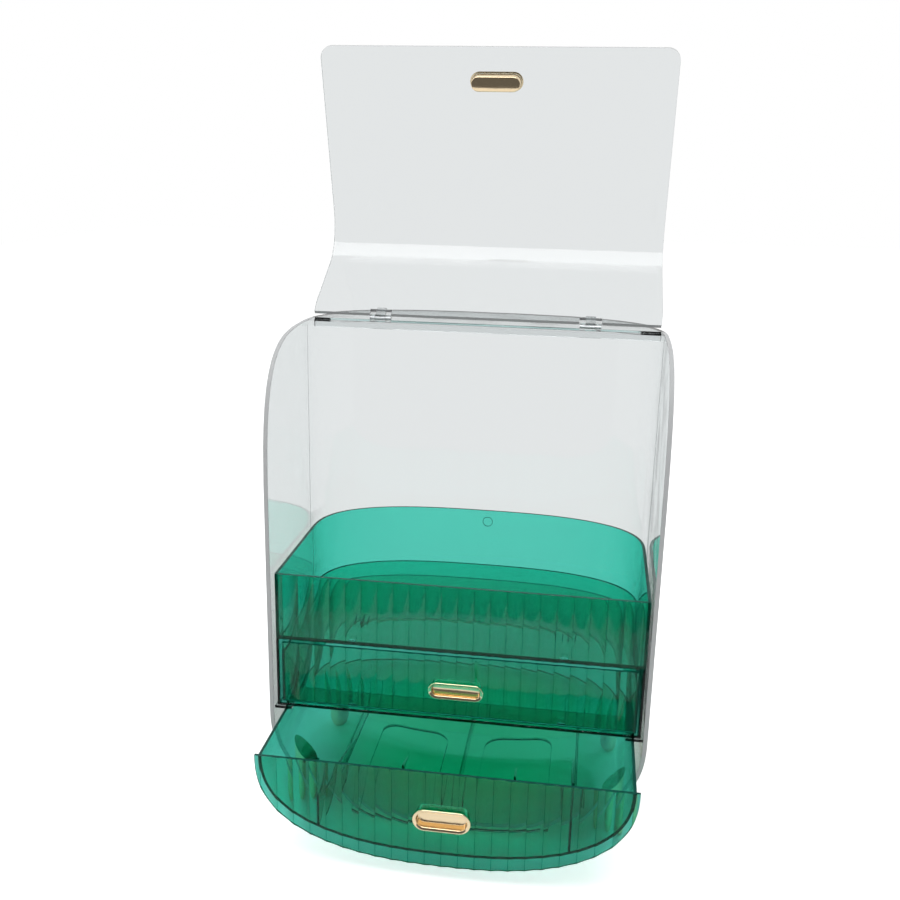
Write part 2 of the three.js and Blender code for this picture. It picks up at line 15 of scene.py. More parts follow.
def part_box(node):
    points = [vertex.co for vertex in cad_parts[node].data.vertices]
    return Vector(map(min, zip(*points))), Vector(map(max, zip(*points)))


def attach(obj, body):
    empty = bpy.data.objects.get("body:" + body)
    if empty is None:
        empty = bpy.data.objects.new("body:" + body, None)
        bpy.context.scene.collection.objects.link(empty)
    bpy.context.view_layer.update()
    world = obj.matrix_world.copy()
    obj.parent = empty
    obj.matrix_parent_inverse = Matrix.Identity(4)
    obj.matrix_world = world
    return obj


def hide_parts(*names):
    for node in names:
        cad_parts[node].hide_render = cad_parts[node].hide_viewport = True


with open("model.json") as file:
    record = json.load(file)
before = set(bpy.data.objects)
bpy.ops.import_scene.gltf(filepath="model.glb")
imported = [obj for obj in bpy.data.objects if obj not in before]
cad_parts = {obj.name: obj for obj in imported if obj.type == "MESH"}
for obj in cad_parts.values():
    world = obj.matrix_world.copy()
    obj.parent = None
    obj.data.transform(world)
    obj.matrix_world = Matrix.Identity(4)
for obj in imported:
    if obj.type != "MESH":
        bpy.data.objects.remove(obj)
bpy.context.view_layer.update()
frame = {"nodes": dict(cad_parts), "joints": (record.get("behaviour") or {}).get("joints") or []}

bl_info = {
    "name": "Makeup organizer",
    "version": (1, 0, 0),
    "blender": (4, 5, 0),
    "location": "View3D > Sidebar > Organizer",
    "description": "Builds a clear makeup organizer with a flip lid, a tray and two drawers",
    "category": "Object",
}

CASE_LOW, CASE_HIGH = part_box("case_shell")
TRAY_LOW, TRAY_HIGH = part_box("upper_tray")
HOUSING_LOW, HOUSING_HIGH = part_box("drawer_housing")
MIDDLE_LOW, MIDDLE_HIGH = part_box("middle_drawer")
MIDDLE_FRONT_LOW, MIDDLE_FRONT_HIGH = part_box("middle_drawer_front")
LOWER_LOW, LOWER_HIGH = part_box("lower_drawer")
LOWER_FRONT_LOW, LOWER_FRONT_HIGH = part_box("lower_drawer_front")
FRONT = CASE_LOW.y
HINGE = Vector(next(joint["pos_m"] for joint in frame["joints"] if joint["name"] == "lid_hinge"))
OPEN_ANGLE = math.radians(next(
    joint["range_deg"][1] for joint in frame["joints"] if joint["name"] == "lid_hinge"))

# Widths of the rounded edges
WALL_ROUNDING = 0.0005
BOWL_ROUNDING = 0.0004
FRONT_ROUNDING = 0.0003
PEG_ROUNDING = 0.0003
PIN_ROUNDING = 0.0002

# Angles between faces from which an edge is shaded sharp
WALL_ANGLE = math.radians(30)
FLUTE_ANGLE = math.radians(9)
PULL_ANGLE = math.radians(50)
BEVEL_ANGLE = math.radians(40)

# Distance that keeps two flat faces out of one plane
SLIVER = 0.00002


# Properties

def length(name, description, default):
    return bpy.props.FloatProperty(
        name=name, description=description, default=default, unit="LENGTH", precision=4)


def number(name, description, default):
    return bpy.props.FloatProperty(name=name, description=description, default=default, precision=3)


def count(name, description, default):
    return bpy.props.IntProperty(name=name, description=description, default=default, min=1)


def angle(name, description, default):
    return bpy.props.FloatProperty(name=name, description=description, default=default, subtype="ANGLE")


def colour(name, description, default):
    return bpy.props.FloatVectorProperty(
        name=name, description=description, default=default, subtype="COLOR", size=3, min=0, max=1)


class CaseSizes(bpy.types.PropertyGroup):
    half_width: length("Half width", "Middle of the case to its side", CASE_HIGH.x)
    top: length("Top", "Floor to the flat top plate", HINGE.z - 0.0015)
    underside: length("Underside", "Floor to the lowest point of the case", CASE_LOW.z)
    straight: length("Straight run", "Straight part of each side wall, front to back", 0.100)
    bow: length("Bow", "How far the rear wall bows out", 0.078)
    wall: length("Wall", "Thickness of the case walls", 0.003)
    bowl_depth: length("Bowl depth", "Height of the rounded bottom", 0.081)
    plan_power: number("Plan roundness", "Power of the outlines seen from above", 2.7)
    bowl_power: number("Bowl roundness", "Power of the outlines seen from the front", 2.44)
    rim_drop: length("Rim drop", "Height over which the side rims curve down", 0.160)
    rim_power: number("Rim roundness", "Power of the side rims' curve", 4.3)
    plate_gap: length("Plate gap", "Hinge line to the front of the top plate", 0.0005)
    lip_height: length("Lip height", "Lip under the top plate", 0.004)
    lip_thickness: length("Lip thickness", "Lip under the top plate, front to back", 0.0025)
    ledge_width: length("Ledge width", "Ledges that carry the drawer housing", 0.012)
    ledge_thickness: length("Ledge thickness", "Height of the ledges", 0.0022)
    runner_thickness: length("Runner thickness", "Rails under the lower drawer", 0.0016)
    runner_spacing: length("Runner spacing", "Middle to the outer rails", 0.0885)
    runner_start: length("Runner start", "Front edge to the rails", 0.012)
    runner_length: length("Runner length", "Length of the rails", 0.140)
    corner_line: length("Corner line", "Straight run to the upright mould lines", 0.004)
    line_width: length("Line width", "Width of the mould lines", 0.0005)


class LidSizes(bpy.types.PropertyGroup):
    top_length: length("Top length", "Hinge line to the start of the bend", 0.0609)
    bend_radius: length("Bend radius", "Outer radius of the bend", 0.0377)
    front_length: length("Front length", "End of the bend to the free edge", 0.1259)
    lean: angle("Lean", "Shut front panel to the upright", math.radians(13.8))
    thickness: length("Thickness", "Sheet thickness", 0.0025)
    side_gap: length("Side gap", "Lid to the side walls", 0.0006)
    corner_radius: length("Corner radius", "Free corners", 0.009)
    hinge_rise: length("Hinge rise", "Hinge axis above the top plate", 0.0015)
    hinge_spacing: length("Hinge spacing", "Middle to each hinge", 0.079)
    hinge_width: length("Hinge width", "Width of a hinge", 0.016)
    lug_width: length("Lug width", "Width of a case lug", 0.004)
    lug_radius: length("Lug radius", "Radius of a case lug", 0.0024)
    knuckle_radius: length("Knuckle radius", "Radius of the lid's knuckle", 0.0022)
    knuckle_reach: length("Knuckle reach", "Depth of the notch round a hinge", 0.0055)
    pin_radius: length("Pin radius", "Radius of a hinge pin", 0.001)


class StackSizes(bpy.types.PropertyGroup):
    setback: length("Setback", "Case front edge to the fluted fronts", 0.0042)
    front_thickness: length("Front thickness", "Thickness of the fluted fronts", 0.0025)
    flute_pitch: length("Flute pitch", "Width of one flute", 0.01135)
    flute_depth: length("Flute depth", "Depth of one flute", 0.00065)
    flute_steps: count("Flute steps", "Facets across one flute", 8)
    # Width of the painted shading line along each flute ridge, drawn in the edge finish
    painted_ridge_width: length("Ridge width", "Hazy line along the ridge between two flutes", 0.0002)
    tray_wall: length("Tray wall", "Walls of the tray and the housing", 0.0022)
    bin_wall: length("Bin wall", "Walls of the drawer bins", 0.002)
    seat_gap: length("Seat gap", "Between pieces that rest on each other", 0.0003)
    tray_bow: length("Tray bow", "Bow of the tray's rear wall", 0.070)
    middle_bow: length("Middle bow", "Bow of the middle bin's rear wall", 0.0618)
    lower_bow: length("Lower bow", "Bow of the lower bin's rear wall", 0.059)
    lower_pull: length("Lower pull", "How far the lower drawer stands open", 0.0584)
    tongue_spacing: length("Tongue spacing", "Middle to the snap tongues", 0.075)
    tongue_width: length("Tongue width", "Width of a snap tongue", 0.0055)
    tongue_length: length("Tongue length", "Reach of a snap tongue", 0.006)
    tongue_thickness: length("Tongue thickness", "Height of a snap tongue", 0.0012)
    guide_start: length("Guide start", "Front edge to the floor ribs", 0.034)
    guide_length: length("Guide length", "Length of the floor ribs", 0.013)
    guide_height: length("Guide height", "Height of the floor ribs", 0.002)
    guide_thickness: length("Guide thickness", "Thickness of a floor rib", 0.001)
    gate_radius: length("Gate mark", "Radius of the moulding mark on the tray's rear wall", 0.0042)
    gate_drop: length("Gate drop", "Rim of the tray to the moulding mark", 0.0095)
    gate_place: length("Gate place", "Middle of the tray to the moulding mark", 0.003)
    housing_rim: length("Housing floor rim", "Floor left round the opening in the housing", 0.008)
    housing_bar: length("Housing front bar", "Floor left at the front of the housing", 0.024)
    gusset_thickness: length("Gusset thickness", "Gussets of the lower bin", 0.0016)
    gusset_height: length("Gusset height", "Fin height behind the front", 0.022)
    gusset_length: length("Gusset length", "Fin length", 0.112)
    gusset_rib: length("Gusset rib", "Depth of the upright rib", 0.0025)
    gusset_spacing: length("Gusset spacing", "Middle to the outer gussets", 0.0855)
    inner_fin: length("Inner fin", "Length of the inner gussets' fins", 0.024)
    pad_width: length("Pad width", "Raised pads on the bin floor", 0.053)
    pad_length: length("Pad length", "Raised pads on the bin floor", 0.118)
    pad_gap: length("Pad gap", "Between the two pads", 0.030)
    pad_radius: length("Pad radius", "Rear corners of a pad", 0.014)
    pad_rise: length("Pad rise", "Height of a pad", 0.0013)
    pad_inset: length("Pad inset", "Rear wall to a pad", 0.005)


class PullSizes(bpy.types.PropertyGroup):
    width: length("Width", "Width of each flush pull", 0.0395)
    lid_height: length("Lid pull height", "Height of the lid's pull", 0.014)
    middle_height: length("Middle pull height", "Height of the middle pull", 0.0126)
    lower_height: length("Lower pull height", "Height of the lower pull", 0.016)
    flange: length("Flange", "Width of the flange", 0.0016)
    flange_thickness: length("Flange thickness", "Flange above the panel", 0.0012)
    cup_depth: length("Cup depth", "Flange front to the back of the cup", 0.011)
    cup_wall: length("Cup wall", "Wall of the cup", 0.001)
    recess: length("Recess", "Depth of the finger recess", 0.0065)
    lid_inset: length("Lid inset", "Free edge of the lid to the pull", 0.0247)
    middle_drop: length("Middle drop", "Top of the middle front to the pull", 0.0265)
    lower_drop: length("Lower drop", "Top of the lower front to the pull", 0.0355)


class FootSizes(bpy.types.PropertyGroup):
    radius: length("Radius", "Radius at the case", 0.009)
    tip_radius: length("Tip radius", "Radius of the flat tip", 0.004)
    shoulder_radius: length("Shoulder radius", "Radius above the rounded tip", 0.0082)
    shoulder_height: length("Shoulder height", "Height of the rounded tip", 0.010)


class Finishes(bpy.types.PropertyGroup):
    clear_tint: colour("Clear surface", "Light that the clear plastic lets in", (0.805, 0.815, 0.82))
    clear_passed: colour("Clear plastic", "Light that the clear plastic lets through", (0.40, 0.70, 0.68))
    clear_density: number("Clear density", "Absorption of the clear plastic per metre", 20)
    # Cut-edge finishes: a matt share in a fixed colour paints the edges' light and shade, light grey on the
    # clear plastic and dark green on the green plastic
    clear_edge: colour("Clear edge", "Slightly hazy cut edges of the clear plastic", (0.86, 0.88, 0.89))
    green_edge: colour("Green edge", "Slightly hazy cut edges of the green plastic", (0.02, 0.14, 0.11))
    edge_shine: number("Edge shine", "Strength of the cut edges' reflections, 1 in full", 0.15)
    painted_edge_share: number("Edge haze", "Share of the light that a cut edge scatters", 0.5)
    green_tint: colour("Green surface", "Light that the green plastic lets in", (0.95, 0.98, 0.97))
    green_passed: colour("Green plastic", "Light that the green plastic lets through", (0.10, 0.872, 0.785))
    green_density: number("Green density", "Absorption of the green plastic per metre", 1000)
    plastic_ior: number("Plastic IOR", "Refraction of the plastics", 1.5)
    clear_shine: number("Clear shine", "Strength of the clear plastic's reflections, 1 in full", 0.5)
    green_shine: number("Green shine", "Strength of the green plastic's reflections, 1 in full", 0.45)
    gold: colour("Gold", "Polished gold plating", (0.95, 0.76, 0.50))
    steel: colour("Steel", "Drawn wire", (0.62, 0.63, 0.64))


class StageSettings(bpy.types.PropertyGroup):
    camera_place: bpy.props.FloatVectorProperty(
        name="Camera place", description="Camera from the middle of the case's top front edge",
        default=(0.08024, -0.63390, 0.11745), subtype="TRANSLATION", unit="LENGTH", size=3)
    camera_yaw: angle("Yaw", "Camera turned to the left", 0.1370)
    camera_pitch: angle("Pitch", "Camera turned down", 0.2774)
    camera_roll: angle("Roll", "Camera rolled", 0.0217)
    focal_share: number("Focal share", "Focal length as a share of the picture's width", 1.1288)
    white: number("White", "Strength of the background as the camera sees it", 1.0)
    backdrop: number("Backdrop", "Strength of the background in reflections, behind and above", 0.7)
    room: number("Room", "Strength of the dark room in reflections, on the near side", 0.12)
    daylight: number("Daylight", "Strength of the even light on dull surfaces", 0.5)
    floor_shade: number("Floor shade", "Brightness of the floor's colour", 0.9)
    # A painted pool of green light: emission on the floor below the drawers, seen only through the plastics
    pool: colour("Green pool", "Light that the green drawers cast on the floor below them", (0.0, 0.32, 0.13))
    painted_pool_place: length("Pool place", "Middle of the frame to the middle of the pool", 0.06)
    painted_pool_core: length("Pool core", "Radius within which the pool is full", 0.06)
    painted_pool_reach: length("Pool reach", "Radius at which the pool ends", 0.17)
    shade_reach: length("Shade reach", "Radius at which the object's shade starts to end", 0.22)
    open_radius: length("Open radius", "Where the floor is as white through the plastic as beside it", 0.42)
    floor_lift: number("Floor lift", "Light of the floor's own, which keeps its shadow soft", 0.6)
    floor_front: length("Floor front", "Middle of the frame to the floor's front edge", 0.42)
    floor_side: length("Floor side", "Middle of the frame to the floor's sides", 3.0)


GROUPS = {
    "organizer_case": CaseSizes,
    "organizer_lid": LidSizes,
    "organizer_stack": StackSizes,
    "organizer_pull": PullSizes,
    "organizer_foot": FootSizes,
    "organizer_finish": Finishes,
    "organizer_stage": StageSettings,
}


def settings(*names):
    """The scene's property groups of these names."""
    return [getattr(bpy.context.scene, "organizer_" + name) for name in names]


# Shader maths

class Wire:
    """A node's output socket. Operators on wires and numbers add Math nodes."""

    def __init__(self, socket):
        self.socket = socket

    def maths(self, operation, first, second):
        tree = self.socket.id_data
        node = add_node(tree, "ShaderNodeMath", {"operation": operation}, {0: first, 1: second})
        return Wire(node.outputs[0])

    def __add__(self, other):
        return self.maths("ADD", self, other)

    def __radd__(self, other):
        return self.maths("ADD", other, self)

    def __sub__(self, other):
        return self.maths("SUBTRACT", self, other)

    def __rsub__(self, other):
        return self.maths("SUBTRACT", other, self)

    def __mul__(self, other):
        return self.maths("MULTIPLY", self, other)

    def __rmul__(self, other):
        return self.maths("MULTIPLY", other, self)


def add_node(tree, kind, values=None, sockets=None):
    """Adds a node: its settings first, then the values or links of its sockets."""
    node = tree.nodes.new(kind)
    for name, value in (values or {}).items():
        setattr(node, name, value)
    for name, value in (sockets or {}).items():
        if isinstance(value, Wire):
            tree.links.new(value.socket, node.inputs[name])
        else:
            node.inputs[name].default_value = value
    return node


def noise(tree, scale, detail):
    place = Wire(add_node(tree, "ShaderNodeTexCoord").outputs["Object"])
    node = add_node(
        tree, "ShaderNodeTexNoise", {}, {"Vector": place, "Scale": scale, "Detail": detail})
    return Wire(node.outputs["Fac"])


def smooth_step(tree, value, start, end, low=0.0, high=1.0):
    """Rises smoothly from low to high while the value goes from start to end."""
    node = add_node(tree, "ShaderNodeMapRange", {"interpolation_type": "SMOOTHSTEP"}, {
        "Value": value, "From Min": start, "From Max": end, "To Min": low, "To Max": high})
    return Wire(node.outputs[0])


def bump(tree, height, strength, distance):
    node = add_node(
        tree, "ShaderNodeBump", {}, {"Strength": strength, "Distance": distance, "Height": height})
    return Wire(node.outputs["Normal"])


def new_material(name, sockets):
    """A material with one Principled shader, whose sockets are given by a function of the tree."""
    material = bpy.data.materials.new(name)
    material.use_nodes = True
    tree = material.node_tree
    tree.nodes.clear()
    shader = add_node(tree, "ShaderNodeBsdfPrincipled", {}, sockets(tree))
    add_node(tree, "ShaderNodeOutputMaterial", {}, {"Surface": Wire(shader.outputs[0])})
    return material


def clear_moulding(name, tint, passed, density, shine, finish):
    """A transparent moulded plastic, coloured by the depth that light crosses."""
    polish, wear = 0.004, 0.024

    def sockets(tree):
        waves = noise(tree, scale=22.0, detail=1.0)
        scuffs = noise(tree, scale=160.0, detail=4.0)
        return {
            "Base Color": (*tint, 1),
            "Transmission Weight": 1.0,
            "IOR": finish.plastic_ior,
            "Specular Tint": (shine, shine, shine, 1),
            "Roughness": polish + wear * scuffs,
            "Normal": bump(tree, waves, strength=0.12, distance=0.002),
        }

    return absorbing(new_material(name, sockets), passed, density)


def absorbing(material, passed, density):
    """Lets the inside of a moulding take colour out of the light that crosses it."""
    tree = material.node_tree
    volume = add_node(
        tree, "ShaderNodeVolumeAbsorption", {}, {"Color": (*passed, 1), "Density": density})
    output = next(node for node in tree.nodes if node.type == "OUTPUT_MATERIAL")
    tree.links.new(volume.outputs[0], output.inputs["Volume"])
    return material


def cut_edge(name, tint, passed, density, finish):
    """The narrow edge of a transparent moulding, part matt in a fixed colour: painted light and shade on the
    edge.
    """
    polish, wear = 0.12, 0.1
    shine = finish.edge_shine

    def sockets(tree):
        scuffs = noise(tree, scale=400.0, detail=3.0)
        return {
            "Base Color": (*tint, 1),
            "Transmission Weight": 1 - finish.painted_edge_share,
            "IOR": finish.plastic_ior,
            "Specular IOR Level": shine / 2,
            "Specular Tint": (shine, shine, shine, 1),
            "Roughness": polish + wear * scuffs,
        }

    return absorbing(new_material(name, sockets), passed, density)


def plated_metal(name, tint, roughness):
    """Polished metal with faint waves and fine wipe marks."""
    wear = 0.08

    def sockets(tree):
        marks = noise(tree, scale=900.0, detail=3.0)
        waves = noise(tree, scale=120.0, detail=1.0)
        return {
            "Base Color": (*tint, 1),
            "Metallic": 1.0,
            "Roughness": roughness + wear * marks,
            "Normal": bump(tree, waves, strength=0.15, distance=0.0006),
        }

    return new_material(name, sockets)


def finish_of(name):
    """The material of a finish, made when it is first asked for."""
    finish = bpy.context.scene.organizer_finish
    own = "finish_" + name
    clear = finish.clear_passed, finish.clear_density
    green = finish.green_passed, finish.green_density
    makers = {
        "clear_plastic": lambda: clear_moulding(own, finish.clear_tint, *clear, finish.clear_shine, finish),
        "green_plastic": lambda: clear_moulding(own, finish.green_tint, *green, finish.green_shine, finish),
        "clear_edge": lambda: cut_edge(own, finish.clear_edge, *clear, finish),
        "green_edge": lambda: cut_edge(own, finish.green_edge, *green, finish),
        "gold": lambda: plated_metal(own, finish.gold, roughness=0.1),
        "steel": lambda: plated_metal(own, finish.steel, roughness=0.28),
    }
    return bpy.data.materials.get(own) or makers[name]()


# Curves

def along(steps):
    """Even shares from 0 to 1."""
    return [index / steps for index in range(steps + 1)]


def circle(steps):
    """Angles of a full turn, the last one left out because it is the first again."""
    return [2 * math.pi * index / steps for index in range(steps)]


def superellipse(x, half, depth, power):
    """Depth of a rounded outline at a distance from its middle."""
    return depth * max(0.0, 1 - (abs(x) / half) ** power) ** (1 / power)


def half_width_at(y, half, straight, bow, power):
    """Half width of a plan with straight sides and a bowed rear, at a distance from its front."""
    if y <= straight:
        return half
    return superellipse(y - straight, bow, half, power)


def stadium(width, height, steps=14):
    """A flat oval round the origin: points (a, b)."""
    radius = height / 2
    reach = width / 2 - radius
    angles = [math.pi * (turn - 0.5) for turn in along(steps)]
    right = [(reach + radius * math.cos(angle), radius * math.sin(angle)) for angle in angles]
    return right + [(-a, -b) for a, b in right]


def rectangle(half, low, high):
    return [(-half, low), (half, low), (half, high), (-half, high)]


def moved(outline, a, b):
    return [(point[0] + a, point[1] + b) for point in outline]


# Meshes

def new_piece(name, mesh, finish, body, nodes, rounding=0.0, sharp=WALL_ANGLE):
    """Turns a bmesh into a finished piece, which rides on a body and stands for CAD nodes.

    Edges are rounded by a width, and are shaded sharp from an angle on. A plastic piece has its cut-edge
    finish, with painted edge light and shade, as a second material.
    """
    bmesh.ops.remove_doubles(mesh, verts=mesh.verts, dist=1e-6)
    bmesh.ops.recalc_face_normals(mesh, faces=mesh.faces)
    data = bpy.data.meshes.new(name)
    mesh.to_mesh(data)
    mesh.free()
    data.materials.append(finish_of(finish))
    if finish.endswith("_plastic"):
        data.materials.append(finish_of(finish.replace("_plastic", "_edge")))
    piece = bpy.data.objects.new(name, data)
    bpy.context.scene.collection.objects.link(piece)
    data.shade_smooth()
    data.set_sharp_from_angle(angle=sharp)
    if rounding:
        modifier = piece.modifiers.new("edge rounding", "BEVEL")
        modifier.width = rounding
        modifier.segments = 2
        modifier.limit_method = "ANGLE"
        modifier.angle_limit = BEVEL_ANGLE
        modifier.harden_normals = True
        modifier.miter_outer = "MITER_ARC"
    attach(piece, body)
    if nodes:
        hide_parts(*nodes)
    return piece


class Builder:
    """Collects the faces of one piece. While edge is set, they get the finish of a cut edge."""

    def __init__(self):
        self.mesh = bmesh.new()
        self.edge = False

    def vertices(self, points):
        return [self.mesh.verts.new(point) for point in points]

    def face(self, corners):
        """One face. A corner that only repeats the one before it is left out."""
        kept = [corner for index, corner in enumerate(corners) if corner is not corners[index - 1]]
        if len(kept) > 2:
            self.mesh.faces.new(kept).material_index = int(self.edge)

    def strip(self, first, second, closed=False):
        """Quads between two rows of vertices."""
        turns = len(first) if closed else len(first) - 1
        for index in range(turns):
            after = (index + 1) % len(first)
            self.face([first[index], first[after], second[after], second[index]])

    def prism(self, outline, place, low, high):
        """An outline drawn out between two levels. place(a, b, c) gives the point."""
        ends = [self.vertices([place(a, b, level) for a, b in outline]) for level in (low, high)]
        self.face(list(reversed(ends[0])))
        self.face(ends[1])
        self.strip(ends[0], ends[1], closed=True)

    def box(self, low, high):
        """A block between two opposite corners."""
        outline = [(low[0], low[1]), (high[0], low[1]), (high[0], high[1]), (low[0], high[1])]
        self.prism(outline, lambda a, b, c: (a, b, c), low[2], high[2])

    def gate_mark(self, x, y, z, radius, depth=0.0003, steps=32):
        """A fine round ridge on the front of an upright wall."""
        inner = 0.9 * radius
        rings = []
        for reach, rise in ((radius, 0), (radius, depth), (inner, depth), (inner, 0)):
            rings.append(self.vertices([
                (x + reach * math.cos(angle), y - rise, z + reach * math.sin(angle))
                for angle in circle(steps)]))
        for ring, after in zip(rings, rings[1:] + rings[:1]):
            self.strip(ring, after, closed=True)

    def bar(self, radius, left, right, y, z, steps=28):
        """A round bar along X."""
        ring = [(math.cos(angle), math.sin(angle)) for angle in circle(steps)]
        self.prism(ring, lambda a, b, c: (c, y + radius * a, z + radius * b), left, right)

    def sheet(self, outline, holes, cuts, place, painted_edge_shading=False):
        """A sheet with holes, cut along lines so that it can bend.

        Each cut is an axis, 0 or 1, and a place on it. place(a, b, depth) gives a point of the front skin, at
        depth 0, or of the back skin, at depth 1. With the edge flag set, the rims round the sheet and its
        holes get the cut-edge finish, which paints light and shade on them.
        """
        flat = bmesh.new()
        loops = [outline, *holes]
        points = [Vector((a, b, 0)) for loop in loops for a, b in loop]
        corners = [flat.verts.new(point) for point in points]
        for triangle in tessellate_polygon([[Vector((a, b, 0)) for a, b in loop] for loop in loops]):
            flat.faces.new([corners[index] for index in triangle])
        for axis, value in cuts:
            normal = Vector((1, 0, 0)) if axis == 0 else Vector((0, 1, 0))
            everything = [*flat.verts, *flat.edges, *flat.faces]
            bmesh.ops.bisect_plane(
                flat, geom=everything, plane_co=normal * value, plane_no=normal, dist=1e-7)
        flat.verts.index_update()
        skins = [
            self.vertices([place(v.co.x, v.co.y, depth) for v in flat.verts])
            for depth in (0, 1)]
        for face in flat.faces:
            for skin in skins:
                self.face([skin[v.index] for v in face.verts])
        self.edge = painted_edge_shading
        for edge in flat.edges:
            if edge.is_boundary:
                a, b = (v.index for v in edge.verts)
                self.face([skins[0][a], skins[0][b], skins[1][b], skins[1][a]])
        self.edge = False
        flat.free()


def plan_points(half, straight, bow, power, split, side_ys, rear_steps, extra=()):
    """Left side from front to rear, the rear, then the right side back to the front: points (x, y).

    The sides reach back to y = split, and extra gives more places across the rear.
    """
    reach = half_width_at(split, half, straight, bow, power)
    even = [reach * math.sin(math.pi * (turn - 0.5)) for turn in along(rear_steps)[1:-1]]
    rear = [(x, straight + superellipse(x, half, bow, power)) for x in sorted([*even, *extra])]
    sides = [(half_width_at(y, half, straight, bow, power), y) for y in side_ys]
    return [(-x, y) for x, y in sides] + rear + list(reversed(sides))


def shell(builder, outer, inner, straight, front, bottoms, rim, split=None, plate=None, pads=None,
          rear_steps=96):
    """An open-fronted shell between two skins.

    outer and inner are (half width, bow, plan power). bottoms gives each skin's lowest surface as a function
    of x, rim the top as a function of y. With plate, the top is closed behind y = split by a plate with that
    underside. With pads, both skins are raised where pads.span(x) gives a front and a rear end.
    """
    step, margin = 0.0001, 0.002
    split = split if split is not None else straight
    side_ys = sorted({round(front + (straight - front) * turn ** 2, 6) for turn in along(14)})
    if split > straight:
        side_ys += [straight + (split - straight) * turn for turn in (0.35, 0.55, 0.75, 0.88, 1.0)]
    skins = []
    for (half, bow, power), bottom in zip((outer, inner), bottoms):
        points = plan_points(half, straight, bow, power, split, side_ys, rear_steps,
                             pads.edges(step) if pads else ())
        line = sum(1 for y in side_ys if y <= straight) - 1
        low = builder.vertices([(x, FRONT + y, bottom(x)) for x, y in points])
        high = builder.vertices([(x, FRONT + y, rim(y)) for x, y in points])
        # The bottom: columns from the front edge back to the foot of the bowed wall
        columns = []
        for k in range(line + 1, len(points) - line - 1):
            x, y = points[k]
            first, last = front + margin, y - margin
            between = []
            if pads:
                start, end, rise = pads.span(x)
                between = [(start - step, 0), (start, rise), (end, rise), (end + step, 0)]
                if end + step >= last:
                    between = [(first + (last - first) * turn, 0) for turn in along(5)[1:-1]]
            rows = [(front, 0), (first, 0), *between, (last, 0)]
            column = builder.vertices([(x, FRONT + row, bottom(x) + rise) for row, rise in rows])
            columns.append([*column, low[k]])
        edge = [column[0] for column in columns]
        builder.face(low[:line + 1] + list(reversed(columns[0])))
        builder.face(columns[-1] + low[len(points) - line - 1:])
        for column, after in zip(columns, columns[1:]):
            builder.strip(column, after)
        skins.append({"low": low, "high": high, "edge": edge})
    # The outer wall, and the cut edges along the open front and the rim
    out, into = skins
    builder.strip(out["low"], out["high"])
    front_out = [out["high"][0], out["low"][0], *out["edge"], out["low"][-1], out["high"][-1]]
    front_in = [into["high"][0], into["low"][0], *into["edge"], into["low"][-1], into["high"][-1]]
    builder.edge = True
    builder.strip(front_out, front_in)
    if plate is None:
        builder.strip(out["high"], into["high"])
        builder.edge = False
        builder.strip(into["low"], into["high"])
        return
    total = len(out["low"])
    left, right = len(side_ys) - 1, total - len(side_ys)
    for start, end in ((0, left), (right, total - 1)):
        builder.strip(out["high"][start:end + 1], into["high"][start:end + 1])
    builder.edge = False
    # The plate's underside, and the inner wall up to it
    under = {}
    for k in range(left, right + 1):
        x, y, _ = into["high"][k].co
        if left < k < right:
            into["high"][k].co.z = plate
            under[k] = into["high"][k]
        else:
            under[k] = builder.mesh.verts.new((x, y, plate))
    builder.strip(into["low"][:left], into["high"][:left])
    builder.strip(into["low"][right + 1:], into["high"][right + 1:])
    for near, at in ((left - 1, left), (right + 1, right)):
        builder.face([into["low"][near], into["high"][near], into["high"][at], under[at], into["low"][at]])
    rows = list(range(left, right + 1))
    builder.strip([into["low"][k] for k in rows], [under[k] for k in rows])
    builder.face([under[k] for k in rows])
    builder.face([*[out["high"][k] for k in rows], into["high"][right], into["high"][left]])
    builder.face([into["high"][left], into["high"][right], under[right], under[left]])


class Pads:
    """Two flat raised pads on a bin floor, side by side, with rounded rear corners."""

    def __init__(self, stack, rear):
        self.middle = (stack.pad_width + stack.pad_gap) / 2
        self.half = stack.pad_width / 2
        self.radius = stack.pad_radius
        self.front = rear - stack.pad_length
        self.rear = rear
        self.rise = stack.pad_rise

    def edges(self, step):
        """Stations across that lie just inside and just outside each pad's sides, and in its corners."""
        corner = [self.radius * (1 - math.cos(math.pi / 2 * turn)) for turn in along(6)[1:-1]]
        offsets = [self.half - inset for inset in (-step, 0.0, *corner)]
        return [pad * self.middle + side * offset
                for pad in (-1, 1) for side in (-1, 1) for offset in offsets]

    def mark(self, builder):
        """Gives the steps round the pads the cut-edge finish, whose dark green paints the pads' outlines as
        shade.
        """
        margin = 0.001
        for face in builder.mesh.faces:
            face.normal_update()
            place = face.calc_center_median()
            heights = [vertex.co.z for vertex in face.verts]
            low_step = max(heights) - min(heights) < 3 * self.rise and abs(face.normal.z) < 0.7
            along_pads = self.front - margin < place.y - FRONT < self.rear + margin
            if low_step and along_pads and abs(place.x) < self.middle + self.half + margin:
                face.material_index = 1

    def span(self, x):
        """Front end, rear end and rise of the pad at a distance from the middle."""
        inset = self.half - abs(abs(x) - self.middle)
        if inset < -1e-6:
            return self.front, self.rear - self.radius, 0
        corner = max(0.0, self.radius - inset)
        rounding = self.radius - math.sqrt(max(0.0, self.radius ** 2 - corner ** 2))
        return self.front, self.rear - rounding, self.rise


def flute_hollow(x, stack):
    """Depth of the flutes at a distance from the middle: a ridge there and at every pitch from it."""
    share = x / stack.flute_pitch
    offset = 2 * (share - math.floor(share)) - 1
    return stack.flute_depth * max(0.0, 1 - offset ** 2)


